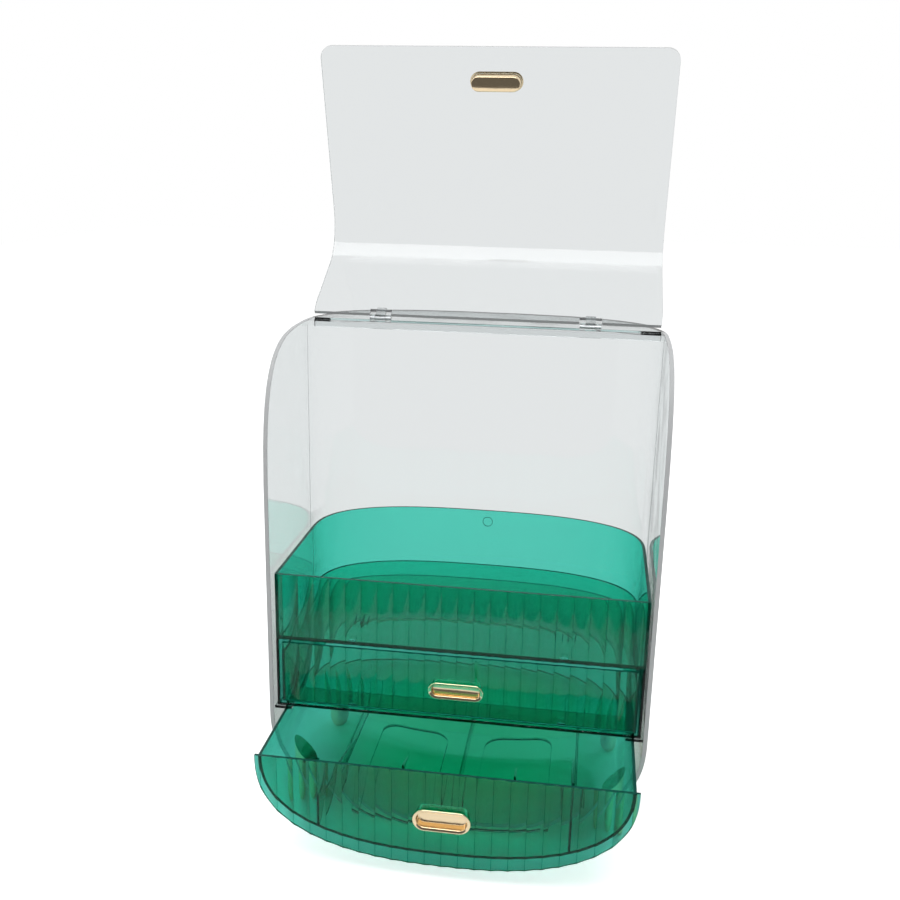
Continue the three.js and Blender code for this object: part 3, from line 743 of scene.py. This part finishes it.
def fluted_sheet(builder, outline, holes, stack, front):
    """A front panel with hollow upright flutes on its face, its front plane at y = front."""
    margin = 0.001
    reach = max(a for a, b in outline)
    levels = [b for a, b in outline]

    def spaced(pitch):
        most = int(reach / pitch)
        return [k * pitch for k in range(-most, most + 1)]

    ridges = spaced(stack.flute_pitch)
    cuts = [(0, x) for x in spaced(stack.flute_pitch / stack.flute_steps)]
    cuts += [(1, min(levels) + margin), (1, max(levels) - margin)]
    cuts += [(0, x + side * stack.painted_ridge_width / 2) for x in ridges for side in (-1, 1)]

    def place(a, b, depth):
        y = front + (stack.front_thickness if depth else flute_hollow(a, stack))
        return (a, y, b)

    builder.sheet(outline, holes, cuts, place, painted_edge_shading=True)
    # Paints a shading line in the edge finish along each ridge, on the front skin
    for face in builder.mesh.faces:
        x, y, _ = face.calc_center_median()
        on_painted_ridge_line = min(abs(x - ridge) for ridge in ridges) < stack.painted_ridge_width / 2
        if on_painted_ridge_line and y < front + stack.front_thickness / 2:
            face.material_index = 1


def cup_hole(pull, height, gap):
    """Outline of the hole that takes a pull's cup."""
    return stadium(pull.width - 2 * (pull.flange - gap), height - 2 * (pull.flange - gap))


def tongues(builder, stack, floor_top, front):
    """Two snap tongues that reach from a fluted front over the floor of its bin."""
    half = stack.tongue_width / 2
    low = floor_top + stack.seat_gap
    back = front + stack.front_thickness
    for side in (-1, 1):
        x = side * stack.tongue_spacing
        builder.box((x - half, back - stack.front_thickness / 2, low),
                    (x + half, back + stack.tongue_length, low + stack.tongue_thickness))


def flush_pull(builder, pull, height, place):
    """A pull lofted through ovals: recess floor, recess wall, beaded flange, then the cup behind it.

    place(a, depth, b) gives the point. The profile is (inset, depth) from the flange's outline and the panel.
    """
    stack, = settings("stack")
    face = -stack.seat_gap
    top = face - pull.flange_thickness
    wall = pull.flange + pull.cup_wall
    floor = top + pull.recess
    back = top + pull.cup_depth
    bead = pull.flange_thickness / 3
    profile = [
        (wall + 1.2 * bead, floor),
        (wall + 0.35 * bead, floor - 0.35 * bead),
        (wall, floor - 1.2 * bead),
        (wall - 0.6 * bead, top + 2.2 * bead),
        (wall - 1.3 * bead, top + 1.3 * bead),
        (wall - 2.2 * bead, top + 1.15 * bead),
        (wall - 2.8 * bead, top + 0.7 * bead),
        (1.6 * bead, top + 0.1 * bead),
        (1.1 * bead, top),
        (0.5 * bead, top + 0.25 * bead),
        (0.12 * bead, top + 0.8 * bead),
        (0.0, top + 1.5 * bead),
        (0.0, face),
        (pull.flange, face),
        (pull.flange, back - 1.2 * bead),
        (pull.flange + 0.4 * bead, back - 0.4 * bead),
        (pull.flange + 1.2 * bead, back),
    ]
    rows = []
    for inset, depth in profile:
        outline = stadium(pull.width - 2 * inset, height - 2 * inset)
        rows.append(builder.vertices([place(a, depth, b) for a, b in outline]))
    builder.face(rows[0])
    builder.face(list(reversed(rows[-1])))
    for row, after in zip(rows, rows[1:]):
        builder.strip(row, after, closed=True)


# Operators

class BuildCase(bpy.types.Operator):
    """Build the clear case with its lip, hinge lugs, ledges and runners"""
    bl_idname = "organizer.build_case"
    bl_label = "Case"

    def execute(self, context):
        case, lid, stack = settings("case", "lid", "stack")
        builder = Builder()
        spring = case.underside + case.bowl_depth
        hinge_y = HINGE.y - FRONT

        def rim(y):
            if y >= hinge_y:
                return case.top
            share = min(1.0, (hinge_y - y) / hinge_y)
            return case.top - case.rim_drop * (1 - (1 - share ** case.rim_power) ** (1 / case.rim_power))

        def bottom(inset):
            return lambda x: spring - superellipse(
                x, case.half_width - inset, case.bowl_depth - inset, case.bowl_power)

        skins = [(case.half_width - inset, case.bow - inset, case.plan_power) for inset in (0, case.wall)]
        split = hinge_y + case.plate_gap
        shell(builder, *skins, case.straight, 0.0, [bottom(0), bottom(case.wall)], rim, split,
              plate=case.top - case.wall)
        self.add_lip(builder, case, split)
        self.add_lugs(builder, case, lid)
        self.add_ledges(builder, case, stack)
        self.add_runners(builder, case, stack, spring)
        self.add_corner_lines(builder, case)
        new_piece("clear_case", builder.mesh, "clear_plastic", "root", ["case_shell"], WALL_ROUNDING)
        return {"FINISHED"}

    def add_corner_lines(self, builder, case):
        """Fine upright mould lines where the side walls turn into the rear wall."""
        y = case.straight + case.corner_line
        inner = half_width_at(y, case.half_width, case.straight, case.bow, case.plan_power) - case.wall
        half = case.line_width / 2
        builder.edge = True
        for side in (-1, 1):
            x = side * inner
            builder.box((x - half, FRONT + y - half, case.underside + case.bowl_depth),
                        (x + half, FRONT + y + half, case.top - case.wall))
        builder.edge = False

    def add_lip(self, builder, case, split):
        """A lip along the front edge of the top plate, sunk into its underside."""
        reach = case.half_width - case.wall
        behind = 0.0001
        builder.box((-reach, FRONT + split + behind, case.top - case.wall - case.lip_height),
                    (reach, FRONT + split + case.lip_thickness, case.top - case.wall / 2))

    def add_lugs(self, builder, case, lid):
        """Two round-topped lugs for each hinge, on either side of the lid's knuckle."""
        half = lid.lug_width / 2
        offset = lid.hinge_width / 2 - half
        base = case.top - case.wall / 2
        arc = [(HINGE.y + lid.lug_radius * math.cos(angle), HINGE.z + lid.lug_radius * math.sin(angle))
               for angle in (math.pi * turn for turn in along(16))]
        outline = [(HINGE.y - lid.lug_radius, base), (HINGE.y + lid.lug_radius, base), *arc]
        for side in (-1, 1):
            for x in (side * lid.hinge_spacing - offset, side * lid.hinge_spacing + offset):
                builder.prism(outline, lambda a, b, c: (c, a, b), x - half, x + half)

    def add_ledges(self, builder, case, stack):
        """A ledge along each side wall, which the housing stands on."""
        top = HOUSING_LOW.z - stack.seat_gap
        inner = case.half_width - case.wall
        for side in (-1, 1):
            edges = sorted((side * (inner - case.ledge_width), side * (inner + case.wall / 2)))
            builder.box((edges[0], FRONT + stack.setback, top - case.ledge_thickness),
                        (edges[1], FRONT + case.straight, top))

    def add_runners(self, builder, case, stack, spring):
        """Three rails on the rounded bottom, which the lower bin slides on."""
        bin_half = LOWER_HIGH.x + stack.seat_gap
        bin_depth = LOWER_HIGH.z - LOWER_LOW.z + stack.seat_gap
        sunk = case.wall / 2
        start = FRONT + case.runner_start
        half = case.runner_thickness / 2
        for x in (-case.runner_spacing, 0.0, case.runner_spacing):
            top = LOWER_HIGH.z - superellipse(x, bin_half, bin_depth, case.bowl_power) - stack.seat_gap
            floor = spring - superellipse(
                x, case.half_width - sunk, case.bowl_depth - sunk, case.bowl_power)
            builder.box((x - half, start, floor), (x + half, start + case.runner_length, top))


class BuildLid(bpy.types.Operator):
    """Build the bent clear lid with its hinge knuckles, as it stands open"""
    bl_idname = "organizer.build_lid"
    bl_label = "Lid"

    def execute(self, context):
        case, lid, stack, pull = settings("case", "lid", "stack", "pull")
        builder = Builder()
        half = case.half_width - case.wall - lid.side_gap
        bend, total = lid_lengths(lid)
        place = opened(lid)

        def skin(a, b, depth):
            return place(a, b, depth * lid.thickness)

        holes = [moved(cup_hole(pull, pull.lid_height, stack.seat_gap), 0, total - pull.lid_inset)]
        cuts = [(1, lid.top_length + bend * turn) for turn in along(24)]
        outline = self.outline(case, lid, stack, half, total)
        builder.sheet(outline, holes, cuts, skin, painted_edge_shading=True)
        self.add_knuckles(builder, lid, stack)
        new_piece("clear_lid", builder.mesh, "clear_plastic", "lid", ["lid_panel"], WALL_ROUNDING)
        return {"FINISHED"}

    def outline(self, case, lid, stack, half, total):
        """The flat sheet's outline: notched round the hinges, narrowed where the case bows in."""
        radius = lid.corner_radius
        right = [(half - radius + radius * math.cos(angle), total - radius + radius * math.sin(angle))
                 for angle in (math.pi / 2 * turn for turn in along(12))]
        left = [(-a, b) for a, b in reversed(right)]
        start = case.plate_gap
        notch = lid.hinge_width / 2 + stack.seat_gap
        rear = []
        for side in (-1, 1):
            x = side * lid.hinge_spacing
            rear += [(x - notch, start), (x - notch, lid.knuckle_reach),
                     (x + notch, lid.knuckle_reach), (x + notch, start)]
        hinge_y = HINGE.y - FRONT
        curve = hinge_y - case.straight
        sides = []
        for reach in [start + (curve - start) * turn for turn in along(6)]:
            outside = half_width_at(
                hinge_y - reach, case.half_width, case.straight, case.bow, case.plan_power)
            sides.append((outside - case.wall - lid.side_gap, reach))
        return [*[(-a, b) for a, b in reversed(sides)], *rear, *sides, *right, *left]

    def add_knuckles(self, builder, lid, stack):
        """A round knuckle between the two lugs of each hinge, with the web that joins it to the sheet."""
        turn = Matrix.Rotation(-OPEN_ANGLE, 3, "X")
        reach = lid.hinge_width / 2 - lid.lug_width - stack.seat_gap
        low = -lid.hinge_rise - lid.thickness / 2

        def hung(a, b, c):
            return HINGE + turn @ Vector((a, b, c))

        for side in (-1, 1):
            x = side * lid.hinge_spacing
            web = moved(rectangle(reach, -lid.knuckle_reach - lid.thickness, 0), x, 0)
            builder.prism(web, hung, low, -lid.hinge_rise)
            builder.bar(lid.knuckle_radius, x - reach, x + reach, HINGE.y, HINGE.z)


def lid_lengths(lid):
    """Length of the bend, and of the whole sheet from the hinge line to its free edge."""
    bend = lid.bend_radius * (math.pi / 2 - lid.lean)
    return bend, lid.top_length + bend + lid.front_length


def opened(lid):
    """Gives the point of the open lid at (across, distance from the hinge, depth under the outer face)."""
    turn = Matrix.Rotation(-OPEN_ANGLE, 3, "X")
    full_angle = math.pi / 2 - lid.lean
    bend, _ = lid_lengths(lid)

    def place(a, b, depth):
        bent = min(max(b - lid.top_length, 0.0), bend)
        rest = max(b - lid.top_length - bend, 0.0)
        radius = lid.bend_radius
        angle = bent / radius
        y = -min(b, lid.top_length) - radius * math.sin(angle) - rest * math.cos(full_angle)
        z = -lid.hinge_rise - radius * (1 - math.cos(angle)) - rest * math.sin(full_angle)
        inward = Vector((0, math.sin(angle), -math.cos(angle)))
        return HINGE + turn @ (Vector((a, y, z)) + depth * inward)

    return place


class BuildTray(bpy.types.Operator):
    """Build the green tray and its fluted front"""
    bl_idname = "organizer.build_tray"
    bl_label = "Tray"

    def execute(self, context):
        case, stack = settings("case", "stack")
        floor = TRAY_LOW.z + stack.tray_wall
        builder = Builder()
        flat_bin(builder, TRAY_LOW, TRAY_HIGH, stack.tray_bow, stack.tray_wall)
        # The floor ribs and the gate mark take the cut-edge finish, whose dark green paints them with shade
        builder.edge = True
        self.add_guides(builder, stack, floor)
        wall = stack.tray_bow + case.straight - stack.tray_wall
        builder.gate_mark(stack.gate_place, FRONT + wall, TRAY_HIGH.z - stack.gate_drop, stack.gate_radius)
        new_piece("green_tray", builder.mesh, "green_plastic", "root", ["upper_tray"], WALL_ROUNDING)
        builder = Builder()
        front = FRONT + stack.setback
        outline = rectangle(TRAY_HIGH.x, TRAY_LOW.z, TRAY_HIGH.z)
        fluted_sheet(builder, outline, [], stack, front)
        tongues(builder, stack, floor, front)
        new_piece("tray_front", builder.mesh, "green_plastic", "root", ["upper_tray_front"],
                  FRONT_ROUNDING, FLUTE_ANGLE)
        return {"FINISHED"}

    def add_guides(self, builder, stack, floor):
        """Two short ribs on the floor in line with each snap tongue."""
        start = FRONT + stack.guide_start
        half = stack.tongue_width / 2 + stack.seat_gap
        for side in (-1, 1):
            for edge in (-1, 1):
                inner = side * stack.tongue_spacing + edge * half
                outer = inner + edge * stack.guide_thickness
                builder.box((min(inner, outer), start, floor + SLIVER),
                            (max(inner, outer), start + stack.guide_length, floor + stack.guide_height))


class BuildHousing(bpy.types.Operator):
    """Build the housing that the middle drawer slides in"""
    bl_idname = "organizer.build_housing"
    bl_label = "Drawer housing"

    def execute(self, context):
        case, stack = settings("case", "stack")
        builder = Builder()
        self.add_ring(builder, case, stack)
        new_piece("green_housing", builder.mesh, "green_plastic", "root", ["drawer_housing"], WALL_ROUNDING)
        return {"FINISHED"}

    def add_ring(self, builder, case, stack, steps=96):
        """Walls round the sides and rear, and a floor that is open in the middle."""
        front = HOUSING_LOW.y - FRONT
        low, high = HOUSING_LOW.z, HOUSING_HIGH.z
        floor = low + stack.tray_wall
        wall = stack.tray_wall

        def rows(inset, start, levels):
            side_ys = [start + (case.straight - start) * turn for turn in along(6)]
            points = plan_points(HOUSING_HIGH.x - inset, case.straight, stack.tray_bow - inset,
                                 case.plan_power, case.straight, side_ys, steps)
            return [builder.vertices([(x, FRONT + y, level) for x, y in points]) for level in levels]

        outer_low, outer_high = rows(0.0, front, (low, high))
        inner_high, inner_low = rows(wall, front, (high, floor))
        opening_high, opening_low = rows(
            wall + stack.housing_rim, front + stack.housing_bar, (floor, low))
        loops = [outer_low, outer_high, inner_high, inner_low]
        for first, second in zip(loops, loops[1:]):
            builder.strip(first, second)
        builder.strip(inner_low, opening_high, closed=True)
        builder.strip(opening_high, opening_low, closed=True)
        builder.strip(opening_low, outer_low, closed=True)
        builder.face([outer_low[0], outer_high[0], inner_high[0], inner_low[0]])
        builder.face([outer_low[-1], inner_low[-1], inner_high[-1], outer_high[-1]])
        builder.face([outer_low[0], inner_low[0], inner_low[-1], outer_low[-1]])


class BuildMiddleDrawer(bpy.types.Operator):
    """Build the middle drawer's bin, fluted front and pull"""
    bl_idname = "organizer.build_middle_drawer"
    bl_label = "Middle drawer"

    def execute(self, context):
        stack, pull = settings("stack", "pull")
        builder = Builder()
        flat_bin(builder, MIDDLE_LOW, MIDDLE_HIGH, stack.middle_bow, stack.bin_wall)
        new_piece("middle_bin", builder.mesh, "green_plastic", "middle_drawer", ["middle_drawer"],
                  WALL_ROUNDING)
        builder = Builder()
        front = FRONT + stack.setback
        outline = rectangle(MIDDLE_FRONT_HIGH.x, MIDDLE_FRONT_LOW.z, MIDDLE_FRONT_HIGH.z)
        centre = MIDDLE_FRONT_HIGH.z - pull.middle_drop
        hole = moved(cup_hole(pull, pull.middle_height, stack.seat_gap), 0, centre)
        fluted_sheet(builder, outline, [hole], stack, front)
        tongues(builder, stack, MIDDLE_LOW.z + stack.bin_wall, front)
        new_piece("middle_front", builder.mesh, "green_plastic", "middle_drawer", ["middle_drawer_front"],
                  FRONT_ROUNDING, FLUTE_ANGLE)
        builder = Builder()
        flush_pull(builder, pull, pull.middle_height, lambda a, b, c: (a, front + b, centre + c))
        new_piece("middle_pull", builder.mesh, "gold", "middle_drawer", ["middle_handle"], sharp=PULL_ANGLE)
        return {"FINISHED"}


class BuildLowerDrawer(bpy.types.Operator):
    """Build the lower drawer's bowl-shaped bin, gussets, pads, fluted front and pull"""
    bl_idname = "organizer.build_lower_drawer"
    bl_label = "Lower drawer"

    def execute(self, context):
        case, stack, pull = settings("case", "stack", "pull")
        front = LOWER_FRONT_LOW.y
        self.add_bin(case, stack)
        depth = LOWER_FRONT_HIGH.z - LOWER_FRONT_LOW.z
        half = LOWER_FRONT_HIGH.x
        outline = []
        for turn in reversed(along(96)):
            x = half * math.sin(math.pi * (0.5 - turn))
            outline.append((x, LOWER_FRONT_HIGH.z - superellipse(x, half, depth, case.bowl_power)))
        centre = LOWER_FRONT_HIGH.z - pull.lower_drop
        hole = moved(cup_hole(pull, pull.lower_height, stack.seat_gap), 0, centre)
        builder = Builder()
        fluted_sheet(builder, outline, [hole], stack, front)
        new_piece("lower_front", builder.mesh, "green_plastic", "lower_drawer", ["lower_drawer_front"],
                  FRONT_ROUNDING, FLUTE_ANGLE)
        builder = Builder()
        flush_pull(builder, pull, pull.lower_height, lambda a, b, c: (a, front + b, centre + c))
        new_piece("lower_pull", builder.mesh, "gold", "lower_drawer", ["lower_handle"], sharp=PULL_ANGLE)
        return {"FINISHED"}

    def add_bin(self, case, stack):
        """The bowl-shaped bin, with its raised pads and gussets."""
        top = LOWER_HIGH.z
        depth = top - LOWER_LOW.z
        half = LOWER_HIGH.x
        start = LOWER_LOW.y - FRONT
        straight = case.straight - stack.lower_pull
        wall = stack.bin_wall

        def bottom(inset):
            return lambda x: top - superellipse(x, half - inset, depth - inset, case.bowl_power)

        builder = Builder()
        skins = [(half - inset, stack.lower_bow - inset, case.plan_power) for inset in (0, wall)]
        pads = Pads(stack, straight + stack.lower_bow - wall - stack.pad_inset)
        shell(builder, *skins, straight, start, [bottom(0), bottom(wall)], lambda y: top, pads=pads)
        pads.mark(builder)
        self.add_gussets(builder, stack, bottom(wall), top)
        new_piece("lower_bin", builder.mesh, "green_plastic", "lower_drawer", ["lower_drawer"],
                  BOWL_ROUNDING)

    def add_gussets(self, builder, stack, floor_at, top):
        """Two long gussets with an upright rib at the front, and two short low ones between them."""
        front = LOWER_LOW.y
        fin = front + stack.gusset_rib
        rear = LOWER_FRONT_LOW.y + stack.gusset_length
        inner = rear - stack.inner_fin
        half = stack.gusset_thickness / 2
        for side in (-1, 1):
            for x in (side * stack.gusset_spacing, side * stack.gusset_spacing / 2):
                floor = floor_at(x)
                sunk = floor - stack.bin_wall / 2
                low_top = floor + stack.gusset_height * stack.inner_fin / (rear - fin)
                outline = [(inner, sunk), (rear, sunk), (rear, floor), (inner, low_top)]
                if abs(x) == stack.gusset_spacing:
                    outline = [(front, sunk), (rear, sunk), (rear, floor),
                               (fin, floor + stack.gusset_height), (fin, top), (front, top)]
                builder.prism(outline, lambda a, b, c: (c, a, b), x - half, x + half)


class BuildLidPull(bpy.types.Operator):
    """Build the lid's pull, on the slanted front panel of the open lid"""
    bl_idname = "organizer.build_lid_pull"
    bl_label = "Lid pull"

    def execute(self, context):
        lid, pull = settings("lid", "pull")
        place = opened(lid)
        _, total = lid_lengths(lid)
        builder = Builder()
        flush_pull(builder, pull, pull.lid_height, lambda a, b, c: place(a, total - pull.lid_inset + c, b))
        new_piece("lid_pull", builder.mesh, "gold", "lid", ["lid_handle"], sharp=PULL_ANGLE)
        return {"FINISHED"}


class BuildFeet(bpy.types.Operator):
    """Build the four gold pegs and the two hinge pins"""
    bl_idname = "organizer.build_feet"
    bl_label = "Feet and pins"

    def execute(self, context):
        case, lid, stack, foot = settings("case", "lid", "stack", "foot")
        for node in sorted(name for name in frame["nodes"] if name.startswith("foot_")):
            self.add_foot(node, case, stack, foot)
        for node in sorted(name for name in frame["nodes"] if name.startswith("hinge_pin_")):
            low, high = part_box(node)
            builder = Builder()
            builder.bar(lid.pin_radius, low.x, high.x, HINGE.y, HINGE.z)
            name = node.replace("hinge_pin", "wire_pin")
            new_piece(name, builder.mesh, "steel", "root", [node], PIN_ROUNDING)
        return {"FINISHED"}

    def add_foot(self, node, case, stack, foot, steps=40):
        """A peg turned round an upright axis, its top cut to the case's rounded bottom."""
        low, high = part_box(node)
        axis_x = high.x - foot.radius if high.x > -low.x else low.x + foot.radius
        axis_y = (low.y + high.y) / 2
        spring = case.underside + case.bowl_depth
        builder = Builder()

        def tip(turn):
            """Radius and height on the rounded tip, part arc and part cone."""
            arc, angle = 0.6, math.pi / 2 * turn
            return (foot.tip_radius + (foot.shoulder_radius - foot.tip_radius) * math.sin(angle),
                    foot.shoulder_height * (arc * (1 - math.cos(angle)) + (1 - arc) * turn))

        def case_bottom(x):
            return spring - superellipse(x, case.half_width + stack.seat_gap,
                                         case.bowl_depth + stack.seat_gap, case.bowl_power)

        def ring(radius, level):
            places = [(axis_x + radius * math.cos(angle), axis_y + radius * math.sin(angle))
                      for angle in circle(steps)]
            return builder.vertices([(x, y, level(x)) for x, y in places])

        rings = [ring(radius, lambda x: z) for radius, z in (tip(turn) for turn in along(8))]
        rings += [ring(foot.radius * share, case_bottom) for share in (1.0, 0.75, 0.5, 0.25)]
        builder.face(list(reversed(rings[0])))
        builder.face(rings[-1])
        for ring, after in zip(rings, rings[1:]):
            builder.strip(ring, after, closed=True)
        new_piece(node.replace("foot", "peg"), builder.mesh, "gold", "root", [node], PEG_ROUNDING)


def flat_bin(builder, low, high, bow, wall):
    """A flat-floored bin, open at the top and front, that fills a CAD bin's box."""
    case, = settings("case")
    skins = [(high.x - inset, bow - inset, case.plan_power) for inset in (0, wall)]
    shell(builder, *skins, case.straight, low.y - FRONT, [lambda x: low.z, lambda x: low.z + wall],
          lambda y: high.z)


class BuildStage(bpy.types.Operator):
    """Build the floor, the studio lights and the camera"""
    bl_idname = "organizer.build_stage"
    bl_label = "Stage"

    def execute(self, context):
        stage, = settings("stage")
        self.add_floor(stage)
        self.add_world(stage)
        self.add_lamps()
        self.add_camera(stage)
        context.scene.view_settings.view_transform = "Standard"
        return {"FINISHED"}

    def add_floor(self, stage):
        mesh = bmesh.new()
        outline = rectangle(stage.floor_side, -stage.floor_front, 2 * stage.floor_side)
        mesh.faces.new([mesh.verts.new((x, y, 0)) for x, y in outline])
        data = bpy.data.meshes.new("floor")
        mesh.to_mesh(data)
        mesh.free()
        floor = bpy.data.objects.new("floor", data)
        bpy.context.scene.collection.objects.link(floor)
        data.materials.append(self.floor_finish(stage))

    def floor_finish(self, stage):
        """Pale paint. Seen through the plastics, it has a painted pool of green light below the drawers and is
        white far away.
        """
        material = bpy.data.materials.new("pale_floor")
        material.use_nodes = True
        tree = material.node_tree
        tree.nodes.clear()

        def glow(tint, strength):
            node = add_node(tree, "ShaderNodeEmission", {}, {"Color": (*tint, 1), "Strength": strength})
            return Wire(node.outputs[0])

        def both(first, second):
            return Wire(add_node(tree, "ShaderNodeAddShader", {}, {0: first, 1: second}).outputs[0])

        def mix(share, first, second):
            node = add_node(tree, "ShaderNodeMixShader", {}, {"Fac": share, 1: first, 2: second})
            return Wire(node.outputs[0])

        shade = stage.floor_shade
        matt = add_node(tree, "ShaderNodeBsdfDiffuse", {}, {"Color": (shade, shade, shade, 1)})
        paint = Wire(matt.outputs[0])
        place = Wire(add_node(tree, "ShaderNodeTexCoord").outputs["Object"])
        distance = add_node(tree, "ShaderNodeVectorMath", {"operation": "DISTANCE"}, {
            0: place, 1: (0, stage.painted_pool_place, 0)})
        radius = Wire(distance.outputs["Value"])
        painted_pool_end = smooth_step(tree, radius, stage.painted_pool_core, stage.painted_pool_reach)
        shade_end = smooth_step(tree, radius, stage.shade_reach, stage.open_radius)
        # Painted pool of green light, added to the paint near the middle of the frame
        below = mix(painted_pool_end, both(paint, glow(stage.pool, 1.0)), paint)
        through = mix(shade_end, below, glow((1, 1, 1), stage.white))
        seen = both(paint, glow((1, 1, 1), stage.floor_lift))
        light = add_node(tree, "ShaderNodeLightPath")
        lit = mix(Wire(light.outputs["Is Transmission Ray"]), paint, through)
        surface = mix(Wire(light.outputs["Is Camera Ray"]), lit, seen)
        add_node(tree, "ShaderNodeOutputMaterial", {}, {"Surface": surface})
        return material

    def add_world(self, stage):
        """White to the camera and through the plastics. In reflections the near side is a dark room."""
        slope, near, far = 0.7, -0.35, 0.05
        world = bpy.data.worlds.new("studio")
        bpy.context.scene.world = world
        world.use_nodes = True
        tree = world.node_tree
        tree.nodes.clear()
        light = add_node(tree, "ShaderNodeLightPath")
        towards = Wire(add_node(tree, "ShaderNodeTexCoord").outputs["Generated"])
        parts = add_node(tree, "ShaderNodeSeparateXYZ", {}, {0: towards})
        height = Wire(parts.outputs["Y"]) + slope * Wire(parts.outputs["Z"])
        behind = smooth_step(tree, height, near, far, stage.room, stage.backdrop)
        seen = Wire(light.outputs["Is Camera Ray"]) + Wire(light.outputs["Is Transmission Ray"])
        glossy = Wire(light.outputs["Is Glossy Ray"]) * (1 - seen)
        dull = stage.daylight + (stage.white - stage.daylight) * seen
        strength = dull + (behind - dull) * glossy
        background = add_node(
            tree, "ShaderNodeBackground", {}, {"Color": (1, 1, 1, 1), "Strength": strength})
        add_node(tree, "ShaderNodeOutputWorld", {}, {"Surface": Wire(background.outputs[0])})

    def add_lamps(self):
        """Lamp panels, each with its place, size and power, aimed at the upper part of the object."""
        lamps = {
            "overhead_panel": ((0.0, -0.62, 1.78), (1.7, 1.05), 22.0),
            "left_panel": ((-1.3, -0.7, 1.0), (0.6, 1.2), 3.0),
        }
        aim = Vector((0, 0.05, 0.42))
        for name, (place, size, power) in lamps.items():
            lamp = bpy.data.lights.new(name, "AREA")
            lamp.shape = "RECTANGLE"
            lamp.size, lamp.size_y = size
            lamp.energy = power
            holder = bpy.data.objects.new(name, lamp)
            holder.location = place
            holder.rotation_euler = (Vector(place) - aim).to_track_quat("Z", "Y").to_euler()
            bpy.context.scene.collection.objects.link(holder)

    def add_camera(self, stage):
        data = bpy.data.cameras.new("camera")
        data.sensor_width = 36
        data.lens = stage.focal_share * data.sensor_width
        data.clip_start = 0.01
        camera = bpy.data.objects.new("camera", data)
        turn = Matrix.Rotation(stage.camera_yaw, 3, "Z")
        forward = turn @ Vector((0, math.cos(stage.camera_pitch), -math.sin(stage.camera_pitch)))
        level = turn @ Vector((1, 0, 0))
        upright = level.cross(forward)
        c, s = math.cos(stage.camera_roll), math.sin(stage.camera_roll)
        right = c * level + s * upright
        up = c * upright - s * level
        axes = Matrix((right, up, -forward)).transposed()
        case, = settings("case")
        place = Vector(stage.camera_place) + Vector((0, FRONT, case.top))
        camera.matrix_world = Matrix.Translation(place) @ axes.to_4x4()
        bpy.context.scene.collection.objects.link(camera)
        bpy.context.scene.camera = camera


class OrganizerPanel(bpy.types.Panel):
    """Sizes and build steps of the organizer"""
    bl_idname = "VIEW3D_PT_organizer"
    bl_label = "Makeup organizer"
    bl_space_type = "VIEW_3D"
    bl_region_type = "UI"
    bl_category = "Organizer"

    def draw(self, context):
        for operator in OPERATORS:
            self.layout.operator(operator.bl_idname, text=operator.bl_label)
        for name in GROUPS:
            box = self.layout.box()
            box.label(text=name.replace("organizer_", "").capitalize())
            group = getattr(context.scene, name)
            for key in group.__annotations__:
                box.prop(group, key)


OPERATORS = [
    BuildStage, BuildCase, BuildLid, BuildLidPull, BuildTray, BuildHousing, BuildMiddleDrawer,
    BuildLowerDrawer, BuildFeet]


def register():
    for cls in [*GROUPS.values(), *OPERATORS, OrganizerPanel]:
        bpy.utils.register_class(cls)
    for name, group in GROUPS.items():
        setattr(bpy.types.Scene, name, bpy.props.PointerProperty(type=group))


def unregister():
    for name in GROUPS:
        delattr(bpy.types.Scene, name)
    for cls in reversed([*GROUPS.values(), *OPERATORS, OrganizerPanel]):
        bpy.utils.unregister_class(cls)


def main():
    register()
    for operator in OPERATORS:
        family, step = operator.bl_idname.split(".")
        getattr(getattr(bpy.ops, family), step)()


if __name__ == "__main__":
    main()
